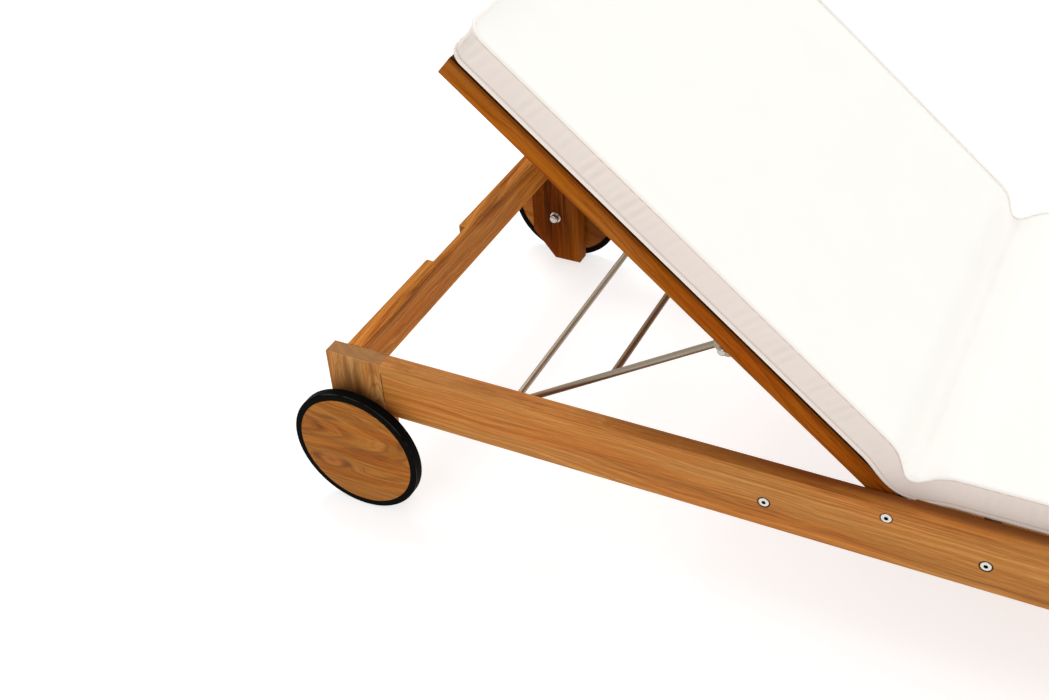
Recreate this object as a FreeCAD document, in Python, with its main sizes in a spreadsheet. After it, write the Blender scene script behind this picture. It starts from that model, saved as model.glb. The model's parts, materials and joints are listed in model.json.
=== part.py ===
import FreeCAD, Part
import os
import Sketcher

# Reclining teak sun lounger with a steel prop, two wheels and a boxed mattress.
#
# Frame: +Y runs from the foot end to the head end, where the wheels are. +X is to the right of
# somebody lying down and looking at the foot end from the pillow. +Z is up. The origin is on the ground,
# in the middle of the whole lounger. Sizes are in millimetres.
#
# The backrest is drawn in its own frame: Y along the stiles from the hinge, Z square to them, origin on
# the hinge. The prop is drawn with Y along its struts, origin on its pivot. Each of those pieces then
# gets the Placement that raises the backrest to its rest angle.

doc = FreeCAD.newDocument("SunLounger")
sheet = doc.addObject("Spreadsheet::Sheet", "Dimensions")

DIMENSIONS = [
    # the box frame
    ("overall_length", 2000, "from the foot legs to the back of the wheels"),
    ("frame_width", 700, "over the outer faces of the side rails"),
    ("rail_top", 265, "top of the rails above the ground"),
    ("rail_height", 94.5, "depth of a side rail"),
    ("board_thick", 27.5, "thickness of side rails and legs"),
    ("leg_width", 94, "width of a leg along the lounger"),
    ("head_leg_bottom", 15, "clearance under the head legs, which the wheels carry"),
    ("leg_chamfer_run", 43.5, "chamfer at the foot of a head leg, along the lounger"),
    ("leg_chamfer_rise", 54, "the same chamfer, upwards"),
    ("edge_round", 1.6, "rounding of the legs' and small pieces' edges"),
    ("rail_round", 2.8, "rounding of the long edges of the rails and stiles"),
    ("tenon_thick", 10, "thickness of the tenons"),
    ("tenon_length", 30, "reach of a rail's tenon into its leg"),
    ("cross_tenon", 14, "reach of a cross rail's tenon into its leg"),
    ("tenon_shoulder", 15, "shoulder above and below a tenon"),
    ("cross_inset", 21, "outer face of a cross rail behind the legs' end faces"),
    ("cross_thick", 26, "thickness of the cross rails"),
    ("cross_height", 65, "depth of the cross rails"),
    ("grip_length", 106, "length of the grip cut-out in the head cross rail"),
    ("grip_centre", -32, "its middle, sideways"),
    ("grip_depth", 14, "how far it goes into the rail"),
    ("grip_drop", 22, "how far down it goes"),
    ("grip_corner", 8, "radius of its lower corners"),
    ("grip_lip", 3, "rounding of its upper corners"),
    # the seat
    ("ledger_thick", 25, "thickness of the ledgers and ratchet battens"),
    ("ledger_bottom", 194, "underside of a ledger above the ground"),
    ("ledger_tail_top", 231.5, "top of the part that the flat backrest lies on"),
    ("ledger_head", 301, "head end of a ledger"),
    ("ledger_step", 80, "where the ledger steps down to let the stile in"),
    ("slat_thick", 12, "thickness of every slat"),
    ("slat_round", 2.5, "rounding of the slats' long edges"),
    ("seat_slat_width", 84, "width of a seat slat"),
    ("seat_slat_start", -945, "foot-side edge of the first seat slat"),
    ("seat_slat_pitch", 104.5, "from one seat slat to the next"),
    ("seat_slat_gap", 1.5, "from the end of a seat slat to the side rail"),
    ("hinge_rail_place", 40, "foot-side face of the cross rail by the hinge"),
    # the backrest
    ("hinge_setback", 834, "hinge behind the head end of the frame"),
    ("hinge_drop", 18, "hinge below the top of the rails"),
    ("recline", 40, "rest angle of the backrest above the seat"),
    ("side_gap", 3, "between a stile and its side rail"),
    ("stile_width", 25, "width of a stile"),
    ("stile_depth", 29, "depth of a stile, square to the backrest"),
    ("stile_reach", 783, "from the hinge to the head end of a stile"),
    ("stile_end_round", 13, "rounding of a stile's hinge end"),
    ("rebate_width", 12.5, "rebate in the stiles that the slats lie in"),
    ("rebate_depth", 7.5, "depth of that rebate"),
    ("back_rail_width", 40, "width of the backrest's top rail"),
    ("low_rail_start", 25, "foot-side edge of the backrest's bottom rail"),
    ("low_rail_width", 35, "width of the bottom rail"),
    ("back_slat_width", 68, "width of a back slat"),
    ("back_slat_start", 68, "from the hinge to the first back slat"),
    ("back_slat_pitch", 85, "from one back slat to the next"),
    # the prop and its ratchet
    ("rod_radius", 5, "radius of the steel rod"),
    ("prop_along", 286, "pivot of the prop along the stile from the hinge"),
    ("prop_below", 15.8, "pivot below the underside of the stile"),
    ("prop_length", 388, "from the pivot to the foot rod"),
    ("prop_brace", 195, "from the pivot to the brace rod"),
    ("prop_half", 277.5, "struts out from the middle"),
    ("foot_rod_height", 196, "foot rod above the ground"),
    ("foot_rod_half", 317, "half the length of the foot rod"),
    ("pivot_rod_half", 303, "half the length of the pivot rod"),
    ("notch_first", 536, "foot rod with the backrest at sixty degrees"),
    ("notch_second", 611, "at fifty degrees"),
    ("notch_third", 671, "at forty degrees"),
    ("notch_fourth", 732, "at twenty-seven degrees"),
    ("notch_fifth", 767, "at fifteen degrees"),
    ("notch_depth", 8, "depth of a notch below the crests"),
    ("notch_ramp", 12, "length of the ramp up to a notch"),
    ("crest_level", 190.3, "crests of the level part of the ratchet"),
    ("crest_drop", 5.3, "fall of the crests towards the highest position"),
    ("batten_foot", 508, "foot end of a ratchet batten"),
    ("batten_head", 815, "head end of a ratchet batten"),
    ("plate_thick", 3, "thickness of the pivot brackets"),
    ("plate_width", 32, "width of a pivot bracket"),
    ("plate_above", 19.5, "how far a bracket reaches up the stile"),
    ("plate_below", 12, "how far it reaches below the pivot"),
    ("running", 0.06, "radial clearance of a pin that turns in its hole"),
    # the wheels
    ("wheel_radius", 107, "outside of the tyre"),
    ("disc_radius", 96.2, "teak disc"),
    ("disc_thick", 16.5, "thickness of the disc"),
    ("disc_gap", 0.15, "radial gap between disc and tyre"),
    ("tyre_width", 17.5, "width of the tyre"),
    ("tyre_round", 2.5, "rounding of the tyre's shoulders"),
    ("wheel_setback", 48, "axle behind the head end of the frame"),
    ("wheel_standoff", 16, "from the leg to the back of the disc"),
    ("axle_radius", 6, "radius of the axle bolt"),
    ("axle_head_radius", 12, "radius of its head, inside the disc"),
    ("axle_head_thick", 4, "thickness of that head"),
    ("hub_radius", 28, "radius of the hub plate"),
    ("hub_thick", 2.5, "thickness of the hub plate"),
    ("spacer_radius", 10, "radius of the spacer tube"),
    # fasteners
    ("bolt_radius", 3, "shank of a ledger bolt"),
    ("bolt_head_radius", 7.4, "head of a ledger bolt"),
    ("bolt_head_thick", 4, "thickness of that head"),
    ("bolt_head_round", 1.6, "rounding of that head"),
    ("bolt_head_play", 1, "radial play of a head in its counterbore"),
    ("bolt_sink", 3.6, "how far a bolt's head is let into the rail"),
    ("socket_radius", 2.9, "socket in a bolt's head"),
    ("socket_depth", 2.5, "depth of that socket"),
    ("bolt_first", 265, "the ledger bolt nearest the head end"),
    ("bolt_pitch", 285, "from one ledger bolt to the next"),
    ("bolt_level", 214, "ledger bolts above the ground"),
    ("hinge_pin_radius", 4, "shank of a hinge bolt"),
    ("screw_radius", 2, "shank of a slat screw"),
    ("screw_head_radius", 4, "head of a slat screw"),
    ("screw_head_thick", 3, "thickness of that head"),
    ("screw_length", 22, "length of a slat screw under its head"),
    # the mattress
    ("cushion_thick", 50.5, "thickness of the mattress"),
    ("cushion_half", 320, "half its width"),
    ("cushion_clear", 0.5, "between mattress and slats"),
    ("cushion_foot", -972, "foot end of the mattress"),
    ("cushion_reach", 788, "from the hinge to the head end of the mattress"),
    ("mitre_gap", 3, "half the gap between the two halves at the hinge"),
    ("mitre_slope", 0.6, "lean of the two facing ends"),
]

SEAT_SLATS = 10
BACK_SLATS = 8
LEDGER_BOLTS = 5
SIDES = {"left": -1, "right": 1}


class Size:
    """A length that knows its number and the spreadsheet formula that it comes from."""

    def __init__(self, value, text=None):
        self.value = float(value)
        self.text = text if text is not None else "%.6g" % value

    def __add__(self, other):
        other = as_size(other)
        return Size(self.value + other.value, "(%s + %s)" % (self.text, other.text))

    def __sub__(self, other):
        other = as_size(other)
        return Size(self.value - other.value, "(%s - %s)" % (self.text, other.text))

    def __mul__(self, other):
        other = as_size(other)
        return Size(self.value * other.value, "(%s * %s)" % (self.text, other.text))

    def __neg__(self):
        return Size(-self.value, "(-1 * %s)" % self.text)

    def __radd__(self, other):
        return as_size(other) + self

    def __rsub__(self, other):
        return as_size(other) - self

    __rmul__ = __mul__


def as_size(number):
    """A plain number as a Size."""
    return number if isinstance(number, Size) else Size(number)


def fill_sheet():
    """Writes the driving dimensions into the spreadsheet and returns them by name."""
    sizes = {}
    for row, (alias, number, meaning) in enumerate(DIMENSIONS, start=1):
        sheet.set("A%d" % row, alias)
        sheet.set("B%d" % row, str(number))
        sheet.set("C%d" % row, meaning)
        sheet.setAlias("B%d" % row, alias)
        sizes[alias] = Size(number, "Dimensions." + alias)
    doc.recompute()
    return sizes


D = fill_sheet()

# ---------------------------------------------------------------- places worked out from the sheet
half_length = D["overall_length"] * 0.5
frame_half = D["frame_width"] * 0.5
inner_half = frame_half - D["board_thick"]
wheel_y = half_length - D["wheel_radius"]
head_face = wheel_y + D["wheel_setback"]
foot_face = -half_length
rail_bottom = D["rail_top"] - D["rail_height"]
head_leg_edge = head_face - D["leg_width"]
foot_leg_edge = foot_face + D["leg_width"]
hinge_y = head_face - D["hinge_setback"]
hinge_z = D["rail_top"] - D["hinge_drop"]
half_stile = D["stile_depth"] * 0.5
stile_outer = inner_half - D["side_gap"]
stile_inner = stile_outer - D["stile_width"]
rebate_outer = stile_inner + D["rebate_width"]
rebate_floor = half_stile - D["rebate_depth"]
back_slat_top = rebate_floor + D["slat_thick"]
pivot_z = -half_stile - D["prop_below"]
ledger_inner = inner_half - D["ledger_thick"]
ledger_top = D["rail_top"] - D["slat_thick"]
disc_back = frame_half + D["wheel_standoff"]
disc_front = disc_back + D["disc_thick"]
hub_face = disc_back - D["hub_thick"]

pieces = []


# ---------------------------------------------------------------- drawing helpers
def new_body(label):
    """An empty PartDesign body that becomes the node of that name."""
    body = doc.addObject("PartDesign::Body", label)
    body.Label = label
    pieces.append(body)
    return body


def new_sketch(body, role, start):
    """A sketch on one of the body's origin planes, moved along that plane's axis to start."""
    sketch = body.newObject("Sketcher::SketchObject", body.Label + "_sketch")
    base = [feature for feature in body.Origin.OriginFeatures if feature.Role == role][0]
    sketch.AttachmentSupport = [(base, "")]
    sketch.MapMode = "FlatFace"
    offset = -as_size(start) if role == "XZ_Plane" else as_size(start)
    sketch.AttachmentOffset = FreeCAD.Placement(FreeCAD.Vector(0, 0, offset.value), FreeCAD.Rotation())
    sketch.setExpression("AttachmentOffset.Base.z", offset.text)
    return sketch


def hold_point(sketch, index, position, across, up):
    """Holds one point of a sketch at its two distances from the sketch's origin."""
    for kind, size, axis in (("DistanceX", as_size(across), -2), ("DistanceY", as_size(up), -1)):
        if size.value == 0:
            sketch.addConstraint(Sketcher.Constraint("PointOnObject", index, position, axis))
            continue
        name = sketch.addConstraint(Sketcher.Constraint(kind, -1, 1, index, position, size.value))
        sketch.setExpression("Constraints[%d]" % name, size.text)


def draw_outline(sketch, corners):
    """A closed outline of straight lines through the corners, each held by the spreadsheet."""
    points = [FreeCAD.Vector(as_size(a).value, as_size(b).value, 0) for a, b in corners]
    first = None
    for index, (a, b) in enumerate(corners):
        edge = Part.LineSegment(points[index], points[(index + 1) % len(points)])
        line = sketch.addGeometry(edge, False)
        first = line if first is None else first
        hold_point(sketch, line, 1, a, b)
        if index:
            sketch.addConstraint(Sketcher.Constraint("Coincident", line - 1, 2, line, 1))
    sketch.addConstraint(Sketcher.Constraint("Coincident", line, 2, first, 1))


def draw_circles(sketch, centres, radius):
    """Circles of one radius round the given centres."""
    for a, b in centres:
        centre = FreeCAD.Vector(as_size(a).value, as_size(b).value, 0)
        up = FreeCAD.Vector(0, 0, 1)
        circle = sketch.addGeometry(Part.Circle(centre, up, as_size(radius).value), False)
        hold_point(sketch, circle, 3, a, b)
        name = sketch.addConstraint(Sketcher.Constraint("Radius", circle, as_size(radius).value))
        sketch.setExpression("Constraints[%d]" % name, as_size(radius).text)


def add(body, sketch, length):
    """Pads the sketch along its plane's axis, towards larger coordinates."""
    pad = body.newObject("PartDesign::Pad", body.Label + "_pad")
    pad.Profile = sketch
    pad.Length = as_size(length).value
    pad.setExpression("Length", as_size(length).text)
    pad.Reversed = sketch.AttachmentSupport[0][0].Role == "XZ_Plane"
    doc.recompute()
    return pad


def cut(body, sketch, length):
    """Pockets the sketch along its plane's axis, towards larger coordinates."""
    before = body.Shape.Volume
    pocket = body.newObject("PartDesign::Pocket", body.Label + "_pocket")
    pocket.Profile = sketch
    pocket.Length = as_size(length).value
    pocket.setExpression("Length", as_size(length).text)
    pocket.Reversed = sketch.AttachmentSupport[0][0].Role != "XZ_Plane"
    doc.recompute()
    if not pocket.Shape.Volume < before - 1e-3:
        raise RuntimeError("a pocket in %s removed nothing" % body.Label)
    return pocket


def block(body, role, start, length, corners):
    """Pads one outline."""
    sketch = new_sketch(body, role, start)
    draw_outline(sketch, corners)
    return add(body, sketch, length)


def recess(body, role, start, length, corners):
    """Pockets one outline."""
    sketch = new_sketch(body, role, start)
    draw_outline(sketch, corners)
    return cut(body, sketch, length)


def pegs(body, role, start, length, centres, radius):
    """Pads circles."""
    sketch = new_sketch(body, role, start)
    draw_circles(sketch, centres, radius)
    return add(body, sketch, length)


def bores(body, role, start, length, centres, radius):
    """Pockets circles."""
    sketch = new_sketch(body, role, start)
    draw_circles(sketch, centres, radius)
    return cut(body, sketch, length)


def rectangle(low_a, high_a, low_b, high_b):
    """The four corners of a rectangle."""
    return [(low_a, low_b), (high_a, low_b), (high_a, high_b), (low_a, high_b)]


def edge_names(shape, wanted):
    """Names of the edges whose direction and middle satisfy wanted(direction, middle)."""
    names = []
    for number, edge in enumerate(shape.Edges, start=1):
        middle = edge.valueAt((edge.FirstParameter + edge.LastParameter) / 2)
        if edge.Curve.TypeId == "Part::GeomLine":
            direction = edge.tangentAt(edge.FirstParameter)
            direction = [abs(direction.x), abs(direction.y), abs(direction.z)]
        else:
            direction = [0, 0, 0]
        if wanted(direction, middle):
            names.append("Edge%d" % number)
    return names


def ease(body, radius, wanted):
    """Rounds the chosen edges of the body as it stands."""
    base = body.Tip
    names = edge_names(base.Shape, wanted)
    if not names:
        raise RuntimeError("no edges to round on " + body.Label)
    fillet = body.newObject("PartDesign::Fillet", body.Label + "_fillet")
    fillet.Base = (base, names)
    fillet.Radius = as_size(radius).value
    fillet.setExpression("Radius", as_size(radius).text)
    doc.recompute()
    return fillet


def sideways(side, inner, outer):
    """Where a piece between two distances from the middle starts, for the left or the right side."""
    return -outer if side < 0 else inner


def along_y(direction, middle):
    return direction[1] > 0.99


def along_x(direction, middle):
    return direction[0] > 0.99


# ---------------------------------------------------------------- the box frame
def rail_holes(body, side):
    """Counterbores and holes of the ledger bolts and the hinge bolt in a side rail."""
    centres = [(D["bolt_first"] - D["bolt_pitch"] * i, D["bolt_level"]) for i in range(LEDGER_BOLTS)]
    sink_start = sideways(side, frame_half - D["bolt_sink"], frame_half)
    start = sideways(side, inner_half, frame_half)
    hinge = [(hinge_y, hinge_z)]
    counterbore = D["bolt_head_radius"] + D["bolt_head_play"]
    bores(body, "YZ_Plane", sink_start, D["bolt_sink"], centres + hinge, counterbore)
    bores(body, "YZ_Plane", start, D["board_thick"], centres, D["bolt_radius"] + 0.1)
    bores(body, "YZ_Plane", start, D["board_thick"], hinge, D["hinge_pin_radius"] + D["running"])


def side_rail(name, side):
    """A side rail with a tenon at each end and the holes for its bolts."""
    body = new_body("side_rail_" + name)
    start = sideways(side, inner_half, frame_half)
    block(body, "YZ_Plane", start, D["board_thick"],
          rectangle(foot_leg_edge, head_leg_edge, rail_bottom, D["rail_top"]))
    ease(body, D["rail_round"], along_y)
    rail_holes(body, side)
    tenon_start = start + (D["board_thick"] - D["tenon_thick"]) * 0.5
    low = rail_bottom + D["tenon_shoulder"]
    high = D["rail_top"] - D["tenon_shoulder"]
    block(body, "YZ_Plane", tenon_start, D["tenon_thick"],
          rectangle(head_leg_edge, head_leg_edge + D["tenon_length"], low, high))
    block(body, "YZ_Plane", tenon_start, D["tenon_thick"],
          rectangle(foot_leg_edge - D["tenon_length"], foot_leg_edge, low, high))


def leg_joints(body, side, rail_edge, reach, cross_low):
    """Mortises in a leg for its side rail and its cross rail."""
    start = sideways(side, inner_half, frame_half)
    tenon_start = start + (D["board_thick"] - D["tenon_thick"]) * 0.5
    low = rail_bottom + D["tenon_shoulder"]
    high = D["rail_top"] - D["tenon_shoulder"]
    near, far = (rail_edge, rail_edge + reach) if reach.value > 0 else (rail_edge + reach, rail_edge)
    recess(body, "YZ_Plane", tenon_start, D["tenon_thick"], rectangle(near, far, low, high))
    cross_start = sideways(side, inner_half, inner_half + D["cross_tenon"])
    cross_middle = cross_low + D["cross_thick"] * 0.5
    half_tenon = D["tenon_thick"] * 0.5
    cross_bottom = D["rail_top"] - D["cross_height"] + D["tenon_shoulder"]
    recess(body, "YZ_Plane", cross_start, D["cross_tenon"],
           rectangle(cross_middle - half_tenon, cross_middle + half_tenon, cross_bottom, high))


def head_leg(name, side):
    """A head leg: a board with a chamfered foot that carries the axle."""
    body = new_body("head_leg_" + name)
    start = sideways(side, inner_half, frame_half)
    block(body, "YZ_Plane", start, D["board_thick"], [
        (head_leg_edge, D["rail_top"]),
        (head_leg_edge, D["head_leg_bottom"]),
        (head_face - D["leg_chamfer_run"], D["head_leg_bottom"]),
        (head_face, D["head_leg_bottom"] + D["leg_chamfer_rise"]),
        (head_face, D["rail_top"]),
    ])
    ease(body, D["edge_round"], lambda d, m: m.y > head_leg_edge.value + 1)
    cross_low = head_face - D["cross_inset"] - D["cross_thick"]
    leg_joints(body, side, head_leg_edge, D["tenon_length"], cross_low)
    bores(body, "YZ_Plane", start, D["board_thick"], [(wheel_y, D["wheel_radius"])],
          D["axle_radius"] + 0.1)


def foot_leg(name, side):
    """A foot leg: a plain board that stands on the ground."""
    body = new_body("foot_leg_" + name)
    start = sideways(side, inner_half, frame_half)
    block(body, "YZ_Plane", start, D["board_thick"],
          rectangle(foot_face, foot_leg_edge, Size(0), D["rail_top"]))
    ease(body, D["edge_round"], lambda d, m: m.y < foot_leg_edge.value - 1)
    leg_joints(body, side, foot_leg_edge, -D["tenon_length"], foot_face + D["cross_inset"])


def cross_rail(label, low):
    """A cross rail between two legs, tenoned into them."""
    body = new_body(label)
    bottom = D["rail_top"] - D["cross_height"]
    block(body, "YZ_Plane", -inner_half, inner_half * 2,
          rectangle(low, low + D["cross_thick"], bottom, D["rail_top"]))
    ease(body, D["rail_round"], along_x)
    middle = low + D["cross_thick"] * 0.5
    half_tenon = D["tenon_thick"] * 0.5
    outline = rectangle(middle - half_tenon, middle + half_tenon,
                        bottom + D["tenon_shoulder"], D["rail_top"] - D["tenon_shoulder"])
    block(body, "YZ_Plane", inner_half, D["cross_tenon"], outline)
    block(body, "YZ_Plane", -inner_half - D["cross_tenon"], D["cross_tenon"], outline)
    return body


def head_cross_rail():
    """The head cross rail, with a grip cut out of its outer top edge."""
    low = head_face - D["cross_inset"] - D["cross_thick"]
    body = cross_rail("head_cross_rail", low)
    outer = low + D["cross_thick"]
    half_grip = D["grip_length"] * 0.5
    floor = D["rail_top"] - D["grip_drop"]
    recess(body, "XZ_Plane", outer - D["grip_depth"], D["grip_depth"] + 5,
           rectangle(D["grip_centre"] - half_grip, D["grip_centre"] + half_grip,
                     floor, D["rail_top"] + 5))
    inside = (D["grip_centre"] - half_grip).value - 1, (D["grip_centre"] + half_grip).value + 1

    def in_grip(m):
        return inside[0] < m.x < inside[1] and m.y > (outer - D["grip_depth"]).value - 1

    ease(body, D["grip_corner"], lambda d, m: d[1] > 0.99 and in_grip(m) and abs(m.z - floor.value) < 1)
    ease(body, D["grip_lip"],
         lambda d, m: d[1] > 0.99 and in_grip(m) and abs(m.z - D["rail_top"].value) < 1)


def hinge_cross_rail():
    """The cross rail under the seat slats by the hinge, between the ledgers."""
    body = new_body("hinge_cross_rail")
    low = D["hinge_rail_place"]
    block(body, "YZ_Plane", -ledger_inner, ledger_inner * 2,
          rectangle(low, low + D["cross_thick"], D["ledger_bottom"], ledger_top))
    ease(body, D["edge_round"], along_x)


# ---------------------------------------------------------------- the seat
def slat_screw_places(slat, half_span):
    """Centres of the four screws of one seat slat."""
    start = D["seat_slat_start"] + D["seat_slat_pitch"] * slat
    inset = D["seat_slat_width"] * 0.25
    rows = (start + inset, start + D["seat_slat_width"] - inset)
    return [(half_span * side, y) for side in (-1, 1) for y in rows]


def seat_ledger(name, side):
    """A ledger bolted inside a side rail, with a lower tail for the flat backrest."""
    body = new_body("seat_ledger_" + name)
    start = sideways(side, ledger_inner, inner_half)
    foot_end = foot_face + D["cross_inset"] + D["cross_thick"]
    block(body, "YZ_Plane", start, D["ledger_thick"], [
        (foot_end, D["ledger_bottom"]),
        (D["ledger_head"], D["ledger_bottom"]),
        (D["ledger_head"], D["ledger_tail_top"]),
        (D["ledger_step"], D["ledger_tail_top"]),
        (D["ledger_step"], ledger_top),
        (foot_end, ledger_top),
    ])
    ease(body, D["edge_round"], along_y)
    centres = [(D["bolt_first"] - D["bolt_pitch"] * i, D["bolt_level"]) for i in range(LEDGER_BOLTS)]
    bolt_start = sideways(side, inner_half - 20, inner_half)
    bores(body, "YZ_Plane", bolt_start, Size(20), centres, D["bolt_radius"] + 0.1)
    line = (ledger_inner + inner_half) * 0.5
    places = [place for slat in range(SEAT_SLATS) for place in slat_screw_places(slat, line)]
    own = [place for place in places if place[0].value * side > 0]
    reach = D["screw_length"] - D["slat_thick"] + 4
    bores(body, "XY_Plane", ledger_top - reach, reach, own, D["screw_radius"])


def ratchet_batten(name, side):
    """A batten inside a side rail whose notches catch the foot rod."""
    body = new_body("ratchet_batten_" + name)
    notches = [D["notch_" + word] for word in ("first", "second", "third", "fourth", "fifth")]
    wall = D["rod_radius"] + 1
    rising = D["crest_drop"].value / (D["notch_third"].value - D["notch_first"].value)

    def crest(y):
        below = max(0.0, D["notch_third"].value - y.value)
        return D["crest_level"] - below * rising

    corners = [(D["batten_foot"], rail_bottom), (D["batten_foot"], crest(D["batten_foot"]))]
    for notch in notches:
        ramp_foot = notch - wall - D["notch_ramp"]
        corners.append((ramp_foot, crest(ramp_foot)))
        corners.append((notch - wall + 2, crest(notch) - D["notch_depth"]))
        corners.append((notch + wall, crest(notch) - D["notch_depth"]))
        corners.append((notch + wall, crest(notch + wall)))
    corners.append((D["batten_head"], D["crest_level"]))
    corners.append((D["batten_head"], rail_bottom))
    block(body, "YZ_Plane", sideways(side, ledger_inner, inner_half), D["ledger_thick"], corners)


def seat_slat(number):
    """A slat across the seat, screwed down on both ledgers."""
    body = new_body("seat_slat_%02d" % (number + 1))
    start = D["seat_slat_start"] + D["seat_slat_pitch"] * number
    half_span = inner_half - D["seat_slat_gap"]
    block(body, "YZ_Plane", -half_span, half_span * 2,
          rectangle(start, start + D["seat_slat_width"], ledger_top, D["rail_top"]))
    ease(body, D["slat_round"], along_x)
    places = slat_screw_places(number, (ledger_inner + inner_half) * 0.5)
    sink = D["rail_top"] - D["screw_head_thick"] - 1
    bores(body, "XY_Plane", sink, D["screw_head_thick"] + 1, places, D["screw_head_radius"] + 0.3)
    bores(body, "XY_Plane", ledger_top, sink - ledger_top, places, D["screw_radius"] + 0.1)


def seat_slat_screws():
    """All screws of the seat slats."""
    body = new_body("seat_slat_screws")
    line = (ledger_inner + inner_half) * 0.5
    places = [place for slat in range(SEAT_SLATS) for place in slat_screw_places(slat, line)]
    head = D["rail_top"] - D["screw_head_thick"] - 1
    pegs(body, "XY_Plane", head, D["screw_head_thick"], places, D["screw_head_radius"])
    pegs(body, "XY_Plane", head - D["screw_length"] + 6, D["screw_length"] - 6, places,
         D["screw_radius"])


def ledger_bolts():
    """Socket-head bolts that hold the ledgers to the side rails."""
    body = new_body("ledger_bolts")
    centres = [(D["bolt_first"] - D["bolt_pitch"] * i, D["bolt_level"]) for i in range(LEDGER_BOLTS)]
    proud = frame_half - D["bolt_sink"] + D["bolt_head_thick"]
    for side in SIDES.values():
        pegs(body, "YZ_Plane", sideways(side, frame_half - D["bolt_sink"], proud),
             D["bolt_head_thick"], centres, D["bolt_head_radius"])
        pegs(body, "YZ_Plane", sideways(side, inner_half - 19, frame_half - D["bolt_sink"]),
             D["board_thick"] + 19 - D["bolt_sink"], centres, D["bolt_radius"])
    ease(body, D["bolt_head_round"], lambda d, m: abs(m.x) > proud.value - 0.01)
    depth = D["socket_depth"]
    for side in SIDES.values():
        bores(body, "YZ_Plane", sideways(side, proud - depth, proud), depth, centres, D["socket_radius"])


# ---------------------------------------------------------------- the backrest
def raise_backrest(body):
    """Turns a piece of the backrest about the hinge to the rest angle."""
    turn = FreeCAD.Rotation(FreeCAD.Vector(1, 0, 0), D["recline"].value)
    body.Placement = FreeCAD.Placement(FreeCAD.Vector(0, hinge_y.value, hinge_z.value), turn)
    body.setExpression("Placement.Base.y", hinge_y.text)
    body.setExpression("Placement.Base.z", hinge_z.text)
    body.setExpression("Placement.Rotation.Angle", D["recline"].text)


def bracket_screw_places():
    """Centres of a pivot bracket's two screws, along and square to the stile."""
    spread = D["plate_width"] * 0.28
    return [(D["prop_along"] - spread, -half_stile * 0.3), (D["prop_along"] + spread, -half_stile * 0.3)]


def back_screw_places(slat, line):
    """Centres of the four screws of one back slat."""
    start = D["back_slat_start"] + D["back_slat_pitch"] * slat
    inset = D["back_slat_width"] * 0.25
    rows = (start + inset, start + D["back_slat_width"] - inset)
    return [(line * side, y) for side in (-1, 1) for y in rows]


def back_stile(name, side):
    """A stile of the backrest, rebated for the slats and bored for its hinge bolt."""
    body = new_body("back_stile_" + name)
    start = sideways(side, stile_inner, stile_outer)
    block(body, "YZ_Plane", start, D["stile_width"],
          rectangle(-half_stile, D["stile_reach"], -half_stile, half_stile))
    ease(body, D["stile_end_round"], lambda d, m: d[0] > 0.99 and m.y < 0)
    ease(body, D["rail_round"], along_y)
    recess(body, "YZ_Plane", sideways(side, stile_inner, rebate_outer), D["rebate_width"],
           rectangle(D["low_rail_start"], D["stile_reach"] - D["back_rail_width"],
                     rebate_floor, half_stile + 5))
    bores(body, "YZ_Plane", start, D["stile_width"], [(Size(0), Size(0))],
          D["hinge_pin_radius"] + D["running"])
    bores(body, "YZ_Plane", sideways(side, stile_inner, stile_inner + 14), Size(14),
          bracket_screw_places(), D["screw_radius"])
    line = (stile_inner + rebate_outer) * 0.5
    places = [place for slat in range(BACK_SLATS) for place in back_screw_places(slat, line)]
    own = [place for place in places if place[0].value * side > 0]
    reach = D["screw_length"] - D["slat_thick"] + 4
    bores(body, "XY_Plane", rebate_floor - reach, reach, own, D["screw_radius"])
    raise_backrest(body)


def back_rail(label, low, high, top):
    """A rail between the stiles."""
    body = new_body(label)
    block(body, "YZ_Plane", -stile_inner, stile_inner * 2, rectangle(low, high, -half_stile, top))
    ease(body, D["edge_round"], along_x)
    raise_backrest(body)


def back_slat(number):
    """A slat of the backrest, in the stiles' rebates."""
    body = new_body("back_slat_%02d" % (number + 1))
    start = D["back_slat_start"] + D["back_slat_pitch"] * number
    half_span = rebate_outer - 0.5
    block(body, "YZ_Plane", -half_span, half_span * 2,
          rectangle(start, start + D["back_slat_width"], rebate_floor, back_slat_top))
    ease(body, D["slat_round"], along_x)
    places = back_screw_places(number, (stile_inner + rebate_outer) * 0.5)
    sink = back_slat_top - D["screw_head_thick"] - 1
    bores(body, "XY_Plane", sink, D["screw_head_thick"] + 1, places, D["screw_head_radius"] + 0.3)
    bores(body, "XY_Plane", rebate_floor, sink - rebate_floor, places, D["screw_radius"] + 0.1)
    raise_backrest(body)


def back_slat_screws():
    """All screws of the back slats."""
    body = new_body("back_slat_screws")
    line = (stile_inner + rebate_outer) * 0.5
    places = [place for slat in range(BACK_SLATS) for place in back_screw_places(slat, line)]
    head = back_slat_top - D["screw_head_thick"] - 1
    pegs(body, "XY_Plane", head, D["screw_head_thick"], places, D["screw_head_radius"])
    pegs(body, "XY_Plane", head - D["screw_length"] + 6, D["screw_length"] - 6, places,
         D["screw_radius"])
    raise_backrest(body)


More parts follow.
